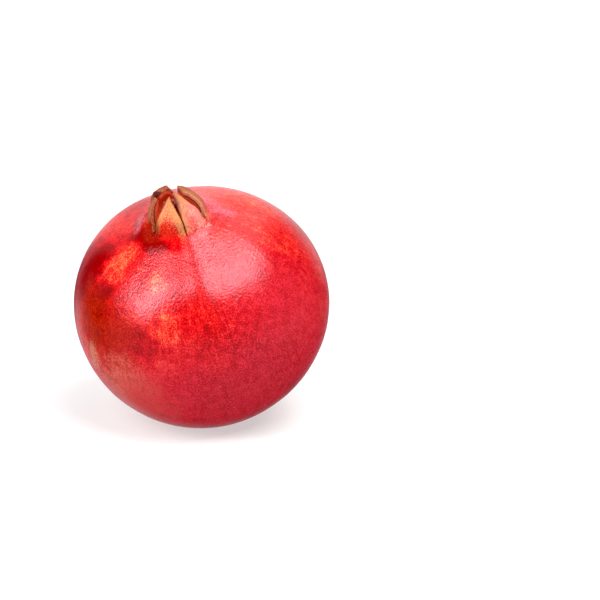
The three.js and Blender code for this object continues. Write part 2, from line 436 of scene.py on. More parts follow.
    def skin_point(self, polar: float, azimuth: float) -> Vector:
        """Find the point of the skin in a direction from the fruit's middle.

        Args:
            polar: Angle from the crown's end of the axis.
            azimuth: Azimuth about the axis.

        Returns:
            The point about the fruit's axis.
        """
        radius = self.skin_radius(polar, azimuth)
        angle = math.radians(polar)
        return around(radius * math.sin(angle), azimuth, radius * math.cos(angle))

    def course(self, sepal: Sepal, along: float) -> tuple[Vector, Vector]:
        """Follow the curve that a sepal's outer face takes over its middle.

        Args:
            sepal: The sepal.
            along: Share of the way from its root to its tip.

        Returns:
            The point, as distance from the axis and height, and the unit direction there.
        """
        p0, p1, p2, p3 = (Vector(pair) for pair in (self.sepal_root, *sepal.bend, sepal.end))
        back = 1 - along
        point = back**3 * p0 + 3 * back**2 * along * p1 + 3 * back * along**2 * p2 + along**3 * p3
        slope = back**2 * (p1 - p0) + 2 * back * along * (p2 - p1) + along**2 * (p3 - p2)
        return point, slope.normalized()

    def half_widths(self, sepal: Sepal, along: float) -> Pair:
        """Work out a sepal's widths to the left and right of its tip's azimuth.

        Args:
            sepal: The sepal.
            along: Share of the way from its root to its tip.

        Returns:
            The left width and the right one.
        """
        distance = self.course(sepal, along)[0].x
        roots = (sepal.tip - sepal.start, sepal.stop - sepal.tip)
        left, right = (
            lerp(
                distance * math.radians(turn) - self.slit_gap / 2,
                sepal.tip_half_width,
                along**taper,
            ) * self.tip_rounding(along)
            for turn, taper in zip(roots, sepal.taper)
        )
        return left, right

    def tip_rounding(self, along: float) -> float:
        """Return the share of its size that a sepal keeps as it rounds off at its tip."""
        near = max(0.0, (along - self.tip_start) / (1 - self.tip_start))
        return math.sqrt(max(0.0, 1 - (near * self.tip_bluntness) ** 2))

    def blade_point(self, sepal: Sepal, along: float, across: float, depth: float) -> Vector:
        """Return a point of a sepal's plain blade.

        Args:
            sepal: The sepal.
            along: Share of the way from its root to its tip.
            across: Share of the way from its starting slit to its stopping one.
            depth: Millimetres inwards from its outer face.

        Returns:
            The point about the fruit's axis.
        """
        middle, tangent = self.course(sepal, along)
        left, right = self.half_widths(sepal, along)
        wrap = max(middle.x, self.tightest_wrap)
        turn = lerp(-left, right, across) / wrap
        inner = wrap - depth * tangent.y
        height = self.crown_base + middle.y + depth * tangent.x
        point = around(middle.x - wrap + inner * math.cos(turn), sepal.tip, height)
        return point + around(inner * math.sin(turn), sepal.tip + 90, 0)

    def cup_point(self, azimuth: float, height: float) -> Vector:
        """Find the point of the cup's wall at an azimuth and a height.

        Args:
            azimuth: Azimuth about the axis.
            height: Height along the axis.

        Returns:
            The point about the fruit's axis.
        """
        share = (height - self.crown_base - self.cup_floor) / (self.cup_shoulder - self.cup_floor)
        radius = lerp(self.cup_floor_radius, self.cup_radius, min(max(share, 0), 1))
        return around(radius, azimuth, height)

    def crown_point(self, sepal: Sepal, along: float, across: float, share: float) -> Vector:
        """Return a point of the crown, where skin and cup run into the sepals.

        Args:
            sepal: The sepal.
            along: Share of the way from its root to its tip, no less than the rim's.
            across: Share of the way from its starting slit to its stopping one.
            share: Share of the way from the outer face to the inner one.

        Returns:
            The point about the fruit's axis.
        """
        thickness = lerp(sepal.root_thickness, sepal.tip_thickness, along)
        rounded_off = 0.5 * thickness * (1 - self.tip_rounding(along))
        outer = self.blade_point(sepal, along, across, rounded_off)
        inner = self.blade_point(sepal, along, across, thickness - rounded_off)
        azimuth = azimuth_of(outer)
        climb = (along - self.rim_share) / (self.flare_share - self.rim_share)
        polar = max(lerp(self.rim_polar, self.flare_polar, climb), self.narrowest_polar)
        skin = self.skin_point(polar, azimuth)
        outer = skin.lerp(outer, smooth_step(along, *self.skin_fade))
        cup = self.cup_point(azimuth, inner.z)
        inner = cup.lerp(inner, smooth_step(along, *self.cup_fade))
        return outer.lerp(inner, share)


class Zone(Enum):
    """The parts of the fruit's surface that a ring of the mesh can lie on."""

    CUP = "cup"
    RIM = "rim"
    SKIN = "skin"


@dataclass(frozen=True)
class Ring:
    """One ring of the fruit's mesh.

    Attributes:
        zone: The part of the surface that it lies on.
        place: Its radius in the cup, its share of the way inwards on the rim, or its polar angle on
            the skin.
    """

    zone: Zone
    place: float


class Number:
    """A number that changes over a surface: arithmetic on it adds Math nodes."""

    def __init__(self, web: "Web", socket: Socket) -> None:
        """Keep the web of nodes and the socket that gives the number."""
        self.web = web
        self.socket = socket

    def _math(self, operation: str, *values: object) -> "Number":
        """Return the result of a Math node on some values."""
        node = self.web.node("ShaderNodeMath", {"operation": operation}, dict(enumerate(values)))
        return Number(self.web, node.outputs[0])

    def __add__(self, other: object) -> "Number":
        """Return self + other."""
        return self._math("ADD", self, other)

    __radd__ = __add__

    def __mul__(self, other: object) -> "Number":
        """Return self * other."""
        return self._math("MULTIPLY", self, other)

    __rmul__ = __mul__

    def __sub__(self, other: object) -> "Number":
        """Return self - other."""
        return self._math("SUBTRACT", self, other)

    def __rsub__(self, other: object) -> "Number":
        """Return other - self."""
        return self._math("SUBTRACT", other, self)

    def clamped(self) -> "Number":
        """Return the number held between 0 and 1."""
        return self._math("MINIMUM", self._math("MAXIMUM", self, 0.0), 1.0)

    def absolute(self) -> "Number":
        """Return the number without its sign."""
        return self._math("ABSOLUTE", self)

    def power(self, exponent: float) -> "Number":
        """Return the number raised to a power."""
        return self._math("POWER", self, exponent)

    def step(self, low: float, high: float) -> "Number":
        """Turn the number into a smooth step.

        Args:
            low: Where the step gives 0. It may be the greater of the two.
            high: Where the step gives 1.

        Returns:
            The step.
        """
        if low > high:
            return 1.0 - self.step(high, low)
        settings = {"interpolation_type": "SMOOTHSTEP"}
        inputs = {"Value": self, "From Min": low, "From Max": high}
        return Number(self.web, self.web.node("ShaderNodeMapRange", settings, inputs).outputs[0])


class Web:
    """The node web of one material."""

    def __init__(self, name: str) -> None:
        """Start a material with an empty web of nodes.

        Args:
            name: The material's name.
        """
        self.material = bpy.data.materials.new(name)
        self.material.use_nodes = True
        self.tree = self.material.node_tree
        self.tree.nodes.clear()

    def node(
        self, kind: str, settings: dict[str, object] | None = None, inputs: dict | None = None
    ) -> bpy.types.Node:
        """Add a node.

        Args:
            kind: Blender's name of the node type.
            settings: The node's settings, which are set first. A ramp's "stops" are pairs of place and
                colour.
            inputs: A value, a socket or a Number for each input, by its name or its index.

        Returns:
            The node.
        """
        node = self.tree.nodes.new(kind)
        for name, value in (settings or {}).items():
            if name == "stops":
                self._set_stops(node.color_ramp, value)
            else:
                setattr(node, name, value)
        for key, value in (inputs or {}).items():
            if isinstance(value, Number):
                value = value.socket
            if isinstance(value, Socket):
                self.tree.links.new(value, node.inputs[key])
            else:
                node.inputs[key].default_value = value
        return node

    @staticmethod
    def _set_stops(ramp: bpy.types.ColorRamp, stops: tuple[tuple[float, Colour], ...]) -> None:
        """Give a colour ramp its stops.

        Args:
            ramp: The ramp.
            stops: Pairs of place and colour, in order.
        """
        while len(ramp.elements) < len(stops):
            ramp.elements.new(0.5)
        for element, (place, colour) in zip(ramp.elements, stops):
            element.position = place
            element.color = (*colour, 1)

    def object_place(self) -> Socket:
        """Return the place on the object, in metres."""
        return self.node("ShaderNodeTexCoord").outputs["Object"]

    def mark(self, name: str) -> Number:
        """Return a number that the mesh carries at its points."""
        settings = {"attribute_type": "GEOMETRY", "attribute_name": name}
        return Number(self, self.node("ShaderNodeAttribute", settings).outputs["Fac"])

    def vector(self, operation: str, *values: object) -> Socket:
        """Return the vector that a Vector Math node makes."""
        settings = {"operation": operation}
        return self.node("ShaderNodeVectorMath", settings, dict(enumerate(values))).outputs[0]

    def noise(self, place: Socket, scale: float, detail: float = 2, roughness: float = 0.5) -> Number:
        """Return noise from 0 to 1 at a place, whose unit times the scale sets the grain."""
        inputs = {"Vector": place, "Scale": scale, "Detail": detail, "Roughness": roughness}
        return Number(self, self.node("ShaderNodeTexNoise", None, inputs).outputs[0])

    def mix(self, share: object, first: object, second: object) -> Socket:
        """Mix two colours.

        Args:
            share: How much of the second there is.
            first: A colour, or the socket of one.
            second: A colour, or the socket of one.

        Returns:
            The mixed colour.
        """
        first, second = (
            (*value, 1) if isinstance(value, tuple) and len(value) == 3 else value
            for value in (first, second)
        )
        node = self.node(
            "ShaderNodeMix", {"data_type": "RGBA"}, {0: share, 6: first, 7: second}
        )
        return node.outputs[2]

    def ramp(self, share: Number, stops: tuple[tuple[float, Colour], ...]) -> Socket:
        """Return the colour that a ramp gives a number."""
        return self.node("ShaderNodeValToRGB", {"stops": stops}, {0: share}).outputs[0]

    def surface(
        self, bump: Number | None, bump_height: float, gloss: Number | None = None, **inputs: object
    ) -> bpy.types.Material:
        """Finish the material with its shader.

        Args:
            bump: Relief from 0 to 1, if the finish has any.
            bump_height: Height of that relief.
            gloss: From 0, where the surface is dull, to 1, where it shines, if that changes.
            **inputs: The shader's inputs, with underscores for the spaces in their names.

        Returns:
            The material.
        """
        named = {name.replace("_", " "): value for name, value in inputs.items()}
        if bump is not None:
            relief = {"Height": bump, "Distance": bump_height * MM, "Strength": 1.0}
            named["Normal"] = self.node("ShaderNodeBump", None, relief).outputs[0]
        shader = self.node("ShaderNodeBsdfPrincipled", None, named)
        if gloss is not None:
            dull = self.node("ShaderNodeBsdfPrincipled", None, {**named, "Specular IOR Level": 0.0})
            mixed = {0: gloss, 1: dull.outputs[0], 2: shader.outputs[0]}
            shader = self.node("ShaderNodeMixShader", None, mixed)
        self.node("ShaderNodeOutputMaterial", None, {"Surface": shader.outputs[0]})
        return self.material


@dataclass(frozen=True)
class Canvas:
    """What the fruit is painted on: a web of nodes and what changes over the surface.

    Attributes:
        web: The material's web of nodes.
        place: The place about the fruit's own axis, in millimetres.
        rise: Height above the crown's rim, below 0 on the skin.
        margin: Distance from the nearer edge of a sepal.
        inside: From 0 on the outside of the crown to 1 on its inside.
    """

    web: Web
    place: Socket
    rise: Number
    margin: Number
    inside: Number

    @classmethod
    def start(cls, name: str, stance: Stance) -> "Canvas":
        """Start a material for the fruit.

        Args:
            name: The material's name.
            stance: Where the fruit's axis stands.

        Returns:
            The canvas.
        """
        web = Web(name)
        turn = Matrix.Rotation(math.radians(-stance.lean), 4, "X")
        inputs = {
            "Vector": web.object_place(),
            "Location": -(turn @ Vector(stance.middle)),
            "Rotation": turn.to_euler(),
            "Scale": (1 / MM,) * 3,
        }
        place = web.node("ShaderNodeMapping", {"vector_type": "POINT"}, inputs).outputs[0]
        return cls(web, place, web.mark("rise"), web.mark("margin"), web.mark("inside"))

    def noise(self, scale: float, detail: float = 2, roughness: float = 0.5) -> Number:
        """Return noise from 0 to 1 over the fruit; a greater scale makes it finer."""
        return self.web.noise(self.place, scale, detail, roughness)

    def torn_place(self, scale: float, reach: float) -> Socket:
        """Shift the place here and there, which makes the edges of patches ragged.

        Args:
            scale: Scale of the noise that shifts it.
            reach: Millimetres between the least shift and the greatest one.

        Returns:
            The shifted place.
        """
        inputs = {"Vector": self.place, "Scale": scale, "Detail": 3.0}
        wander = self.web.node("ShaderNodeTexNoise", None, inputs).outputs[1]
        middle = self.web.vector("SUBTRACT", wander, (0.5,) * 3)
        return self.web.vector("ADD", self.place, self.web.vector("MULTIPLY", middle, (reach,) * 3))


@dataclass(frozen=True)
class Patch:
    """A soft patch of another look on the skin.

    Attributes:
        azimuth: Azimuth of its middle.
        polar: Polar angle of its middle.
        down: Half its length down the fruit, before it is turned.
        round: Half its length round the fruit, before it is turned.
        strength: How far it changes the look; below 0 is darker.
        turn: Degrees that it is turned on the skin.
        distance: Distance of every patch's middle from the fruit's middle.
        fading: How much further a patch reaches as it fades.
        depth: How far a patch reaches in and out.
        full_at: Share of the way in from its outermost reach where it is full.
    """

    distance: ClassVar[float] = 45.5
    fading: ClassVar[float] = 1.6
    depth: ClassVar[float] = 30
    full_at: ClassVar[float] = 0.75

    azimuth: float
    polar: float
    down: float
    round: float
    strength: float = 1.0
    turn: float = 0.0

    def cover(self, web: Web, place: Socket) -> Number:
        """Work out how far a place lies into the patch.

        Args:
            web: The material's web of nodes.
            place: The place about the fruit's axis.

        Returns:
            The patch's strength in its middle, falling to 0 round it.
        """
        polar = math.radians(self.polar)
        out = around(math.sin(polar), self.azimuth, math.cos(polar))
        side = around(1, self.azimuth + 90, 0)
        skin = Matrix((side.cross(out), side, out)).transposed()
        inputs = {
            "Vector": place,
            "Location": out * self.distance,
            "Rotation": (Matrix.Rotation(math.radians(self.turn), 3, out) @ skin).to_euler(),
            "Scale": (self.down * self.fading, self.round * self.fading, self.depth),
        }
        near = web.node("ShaderNodeMapping", {"vector_type": "TEXTURE"}, inputs).outputs[0]
        ball = web.node("ShaderNodeTexGradient", {"gradient_type": "SPHERICAL"}, {0: near})
        return Number(web, ball.outputs[1]).step(0.0, self.full_at) * self.strength


@dataclass(frozen=True)
class Tint:
    """A colour that shows in some patches.

    Attributes:
        shades: The dark and the light shade that the grain runs between.
        patches: Where it shows.
    """

    shades: Shades
    patches: tuple[Patch, ...]

    def over(
        self, web: Web, place: Socket, under: Socket, grain: Number, strength: object = 1.0
    ) -> Socket:
        """Paint the tint over a colour.

        Args:
            web: The material's web of nodes.
            place: The place about the fruit's axis.
            under: The colour to paint on.
            grain: From 0, where the tint is dark, to 1, where it is light.
            strength: How well the tint covers.

        Returns:
            The painted colour.
        """
        share = sum((patch.cover(web, place) for patch in self.patches), start=0.0) * strength
        return web.mix(share.clamped(), under, web.mix(grain, *self.shades))


@dataclass(frozen=True)
class SkinColours:
    """The colours of the skin away from the crown: deep to bright red, mottled with orange.

    Attributes:
        stops: The colours from the reddest skin to the palest.
        lighter: Patches of paler skin.
        redder_and_shaded: Patches of redder skin; those at the crown's foot and on the left side are
            partly painted shade.
        bronze: Brown-red patches, painted over the mottled skin.
        fawn_and_sheen: Pale brown patches, painted over the bronze; the one low on the left limb is
            painted sheen.
        rose: Cool red patches, painted over the fawn.
        painted_sheen: Pale pink patches of painted sheen beside the crown's foot, painted last.
        tear: Scale and reach of the noise that tears the patches' edges.
        paleness: How pale the skin is without any patch, and how much more by slow noise.
        slow_scale: Scale of that slow noise.
        blotch_scale: Scale of the blotches.
        speck_scale: Scale of the specks.
        pale_between: How pale the skin is where the mottling starts to grow, and where it is strongest.
        blotches: Strength of the blotches on red skin, and how much more on pale skin.
        specks: Strength of the specks on red skin, and how much more on pale skin.
        streaks: Strength of the streaks.
        grain: Middle of the tints' grain, and what the blotches and the specks add to it.
        grain_power: How dark the grain is.
        tint_cover: How well the tints cover where the grain is dark, and how much more where it is light.
    """

    stops: tuple[tuple[float, Colour], ...] = (
        (0.0, (0.20, 0.0, 0.0)),
        (0.20, (0.27, 0.0, 0.0005)),
        (0.42, (0.56, 0.0003, 0.004)),
        (0.56, (0.62, 0.010, 0.010)),
        (0.72, (0.60, 0.045, 0.022)),
        (0.86, (0.56, 0.10, 0.035)),
        (1.0, (0.53, 0.17, 0.07)),
    )
    lighter: tuple[Patch, ...] = (
        Patch(-34, 27, 5.5, 4.5, 0.22),
        Patch(-31, 37, 8, 6, 0.17),
        Patch(-36, 50, 8, 4.5, 0.15, -8),
        Patch(-40, 65, 6, 4, 0.24),
        Patch(15, 61, 5, 6, 0.26),
        Patch(11, 39, 5, 4, 0.34),
        Patch(-22, 38, 4, 4, 0.14),
        Patch(14, 78, 5, 4, 0.15),
        Patch(-22, 68, 9, 10, 0.12),
        Patch(110, 27, 6, 12, 0.12),
        Patch(80, 24, 4, 7, 0.06),
        Patch(112, 52, 10, 9, 0.12),
        Patch(160, 45, 18, 16, 0.22),
        Patch(200, 75, 24, 14, 0.26),
        Patch(-110, 60, 22, 16, 0.22),
        Patch(-140, 100, 18, 22, 0.24),
        Patch(95, 100, 20, 15, 0.20),
    )
    redder_and_shaded: tuple[Patch, ...] = (
        Patch(-49, 52, 11.5, 7.2, -0.42, 18),
        # Partly deeper red, partly painted shade: the left side, darker where less light falls.
        Patch(-66, 70, 20, 10, -0.40),
        # The next four darken the crown's foot: partly deeper red skin, partly painted shade in the
        # hollow there.
        Patch(-46, 20, 3.5, 6, -0.34),
        Patch(-12, 18.5, 4, 6, -0.24),
        Patch(-27, 22, 3.5, 4, -0.20),
        Patch(2, 17.0, 3, 5, -0.30),
        Patch(-28, 51, 7, 5, -0.30),
        Patch(-30, 68, 6, 9, -0.20),
        Patch(5, 66, 4.5, 7, -0.24),
        Patch(-23, 56, 6, 5, -0.18),
        Patch(60, 118, 30, 40, -0.12),
        Patch(240, 40, 16, 10, -0.20),
    )
    bronze: Tint = Tint(
        ((0.17, 0.0, 0.0), (0.45, 0.018, 0.0003)),
        (
            Patch(-22, 70, 10, 15, 1.0),
            Patch(-38, 60, 8, 6, 0.5),
            Patch(150, 75, 16, 14, 0.6),
            Patch(-120, 80, 18, 14, 0.6),
        ),
    )
    fawn_and_sheen: Tint = Tint(
        ((0.38, 0.060, 0.038), (0.53, 0.27, 0.155)),
        (
            Patch(-5, 97.5, 13, 13, 1.15, 45),
            Patch(172, 110, 16, 20, 0.6),
            # Painted sheen: a pale patch on the lower left limb that stands in for the floor's
            # reflection.
            Patch(-29, 84, 6, 4, 0.7),
        ),
    )
    rose: Tint = Tint(
        ((0.44, 0.0, 0.006), (0.60, 0.020, 0.046)),
        (
            Patch(80, 92, 32, 27, 0.7),
            Patch(18, 104, 24, 34, 0.8),
            Patch(180, 95, 36, 36, 0.7),
        ),
    )
    # Painted sheen: pale pink patches beside the crown's foot that stand in for a reflection.
    painted_sheen: Tint = Tint(
        ((0.55, 0.06, 0.09), (0.76, 0.20, 0.26)),
        (Patch(-68, 17.5, 2.2, 3.0, 0.5), Patch(145, 20.0, 5, 7, 0.5)),
    )
    tear: Pair = (0.11, 16.0)
    paleness: Pair = (0.13, 0.52)
    slow_scale: float = 0.09
    blotch_scale: float = 0.35
    speck_scale: float = 2.0
    pale_between: Pair = (0.35, 0.8)
    blotches: Pair = (0.7, 0.4)
    specks: Pair = (1.6, 0.8)
    streaks: float = 0.6
    grain: tuple[float, float, float] = (0.52, 1.3, 3.6)
    grain_power: float = 1.5
    tint_cover: Pair = (0.6, 0.8)

    def paint(self, canvas: Canvas, streak: Number) -> Socket:
        """Paint the skin.

        Args:
            canvas: What the fruit is painted on.
            streak: Fine streaks, as a number about 0.

        Returns:
            The skin's colour.
        """
        web, torn = canvas.web, canvas.torn_place(*self.tear)
        least, more = self.paleness
        pale = least + more * canvas.noise(self.slow_scale, 5, 0.6)
        for patch in (*self.lighter, *self.redder_and_shaded):
            pale = pale + patch.cover(web, torn)
        mottling = pale.step(*self.pale_between)
        blotch = canvas.noise(self.blotch_scale, 4, 0.65) - 0.5
        speck = canvas.noise(self.speck_scale, 2, 0.8) - 0.5
        for mark, (on_red, on_pale) in ((blotch, self.blotches), (speck, self.specks)):
            pale = pale + mark * (on_red + on_pale * mottling)
        colour = web.ramp(pale + self.streaks * streak, self.stops)
        middle, by_blotch, by_speck = self.grain
        grain = (middle + by_blotch * blotch + by_speck * speck).clamped().power(self.grain_power)
        in_dark, in_light = self.tint_cover
        for tint in (self.bronze, self.fawn_and_sheen, self.rose, self.painted_sheen):
            colour = tint.over(web, torn, colour, grain, in_dark + in_light * grain)
        return colour


@dataclass(frozen=True)
class CrownColours:
    """The colours of the crown: ochre in front, russet behind, brown at the edges, red-brown inside.

    Attributes:
        cloud_scale: Scale of the soft clouds.
        fine_scale: Scale of the fine grain.
        fine_contrast: How far the fine grain goes from dark to light.
        front: The part of the crown in front, which dries to ochre.
        ochre: The ochre's dark and light shade.
        ochre_edge: The ochre near the sepals' edges.
        ochre_edge_width: Distances from the edge where that starts and is full.
        ochre_edge_share: How well it covers.
        pink: A pink flush on the ochre.
        russet: Dark and light shade of the sepals behind.
        blush: Where the skin's red climbs up a sepal.
        scarlet: A brighter red low on the crown.
        early: Where the ochre starts lower.
        start: Height where the skin turns to the crown's colours.
        start_between: How much higher it turns between the edges, and how much more at the blush.
        start_behind: How much higher it turns behind.
        start_early: How much lower it turns at the early patch.
        start_margin: Distances from the edge where the turn starts to climb and is highest.
        turn: Heights about the start where the turn begins and ends.
        turn_cloud: How far the clouds shift the turn.
        turn_fine: How far the fine grain shifts the turn.
        foot_red_and_shade: A dark red patch at the crown's foot, partly deeper red skin and partly
            painted shade in the hollow there.
        edge: Distances from the edge where its brown starts and is full.
        edge_rise: Heights where the brown edge starts and is full.
        edge_cloud: How far the clouds shift the edge.
        brown: The edge's dark and light shade.
        tan_and_painted_light: A paler stretch of the right sepal's edge, partly paler brown and partly
            painted light on an edge the lamps leave in shade.
        curl_painted_shade: Painted shade, nearly black, on the edge where a sepal's tip curls over.
        curl_shade_patch: Where that painted shade is.
        line: A near-black line round the rim, partly the dried edge and partly painted shade where the
            edge turns in.
        shade_line_outside: Shares of the way inside where the line starts and is full.
        shade_line_inside: Shares of the way inside where the line has ended and is still full.
        cup: Dark and light shade of the crown's inside.
        cup_scale: Scale of the inside's clouds.
        cup_between: Shares of the way inside where the inside's colour starts and is full.
        flank: A dry brown patch on the side of the right sepal in front.
    """

    cloud_scale: float = 0.35
    fine_scale: float = 1.9
    fine_contrast: float = 4.0
    front: Patch = Patch(42, 15, 13, 16)
    ochre: Shades = ((0.56, 0.10, 0.03), (0.58, 0.25, 0.11))
    ochre_edge: Colour = (0.52, 0.24, 0.07)
    ochre_edge_width: Pair = (1.8, 0.2)
    ochre_edge_share: float = 0.8
    pink: Tint = Tint(((0.87, 0.10, 0.095), (0.90, 0.30, 0.24)), (Patch(82, 14, 5, 4.5),))
    russet: Shades = ((0.14, 0.02, 0.008), (0.28, 0.09, 0.035))
    blush: Patch = Patch(11, 14, 6, 4)
    scarlet: Tint = Tint(((0.42, 0.001, 0.0008), (0.72, 0.038, 0.016)), (Patch(11, 11.8, 2.8, 4.5),))
    early: Patch = Patch(92, 15, 6, 5)
    start: float = 1.0
    start_between: Pair = (2.0, 8.8)
    start_behind: float = 7.0
    start_early: float = 2.5
    start_margin: Pair = (0.6, 3.0)
    turn: Pair = (-4.5, 4.0)
    turn_cloud: float = 9.0
    turn_fine: float = 5.0
    # Partly deeper red skin, partly painted shade in the hollow at the crown's foot.
    foot_red_and_shade: Tint = Tint(((0.17, 0.0, 0.0), (0.34, 0.014, 0.005)), (Patch(-22, 14.5, 3.5, 3.9, 1.2),))
    edge: Pair = (0.45, 0.1)
    edge_rise: Pair = (0.0, 2.5)
    edge_cloud: float = 0.5
    brown: Shades = ((0.20, 0.022, 0.004), (0.42, 0.12, 0.05))
    # Partly paler brown, partly painted light on the right sepal's shaded edge.
    tan_and_painted_light: Tint = Tint(((0.48, 0.13, 0.065), (0.78, 0.32, 0.19)), (Patch(130, 14, 8, 7),))
    # Painted shade where a sepal's tip curls over its edge.
    curl_painted_shade: Colour = (0.09, 0.010, 0.004)
    curl_shade_patch: Patch = Patch(-105, 7.5, 2, 2.4)
    # Partly the dried edge, partly painted shade where the rim turns in.
    line: Colour = (0.05, 0.008, 0.004)
    shade_line_outside: Pair = (0.40, 0.50)
    shade_line_inside: Pair = (0.72, 0.60)
    cup: Shades = ((0.24, 0.015, 0.003), (0.36, 0.035, 0.008))
    cup_scale: float = 0.6
    cup_between: Pair = (0.60, 0.70)
    flank: Tint = Tint(((0.11, 0.014, 0.008), (0.31, 0.095, 0.065)), (Patch(52, 5.5, 3.5, 1.2),))

    def paint(self, canvas: Canvas, red: Socket) -> Socket:
        """Paint the crown over the skin's colour.

        Args:
            canvas: What the fruit is painted on.
            red: The skin's colour.

        Returns:
            The colour of skin and crown together.
        """
        web, place = canvas.web, canvas.place
        cloud = canvas.noise(self.cloud_scale, 3) - 0.5
        fine = (canvas.noise(self.fine_scale, 2, 0.8) - 0.5) * self.fine_contrast + 0.5
        grain = fine.clamped()
        front = self.front.cover(web, place)
        ochre = web.mix(grain, *self.ochre)
        near_edge = canvas.margin.step(*self.ochre_edge_width) * self.ochre_edge_share
        ochre = web.mix(near_edge, ochre, self.ochre_edge)
        ochre = self.pink.over(web, place, ochre, (fine + cloud * 2.0).clamped())
        dry = web.mix(front, web.mix(grain, *self.russet), ochre)
        turn = canvas.rise - self._turn_height(canvas, front)
        turn = turn + cloud * self.turn_cloud + (fine - 0.5) * self.turn_fine
        red = self.scarlet.over(web, place, red, grain)
        colour = web.mix(turn.step(*self.turn), red, dry)
        # Dark red at the crown's foot: partly deeper red skin, partly painted shade in the hollow there.
        colour = self.foot_red_and_shade.over(web, place, colour, grain)
        edge = (canvas.margin + cloud * self.edge_cloud).step(*self.edge)
        edge = edge * canvas.rise.step(*self.edge_rise)
        # The paler stretch on the right sepal's edge is partly painted light.
        brown = self.tan_and_painted_light.over(web, place, web.mix(grain, *self.brown), grain)
        # Painted shade: a nearly black stretch where a sepal's tip curls over its edge.
        brown = web.mix(self.curl_shade_patch.cover(web, place), brown, self.curl_painted_shade)
        colour = web.mix(edge, colour, brown)
        # A near-black line round the rim: partly the dried edge, partly painted shade where the edge
        # turns in.
        line = canvas.inside.step(*self.shade_line_outside) * canvas.inside.step(*self.shade_line_inside)
        colour = web.mix(line, colour, self.line)
        colour = self.flank.over(web, place, colour, grain)
        deep = web.mix(canvas.noise(self.cup_scale), *self.cup)
        return web.mix(canvas.inside.step(*self.cup_between), colour, deep)

    def _turn_height(self, canvas: Canvas, front: Number) -> Number:
        """Work out how high the skin's red climbs up the crown.

        Args:
            canvas: What the fruit is painted on.
            front: From 0 behind to 1 in front.

        Returns:
            The height above the rim.
        """
        blush = self.blush.cover(canvas.web, canvas.place)
        early = self.early.cover(canvas.web, canvas.place)
        between, at_blush = self.start_between
        low = self.start + (between + at_blush * blush) * canvas.margin.step(*self.start_margin) * front
        return low + self.start_behind * (1.0 - front) - self.start_early * early


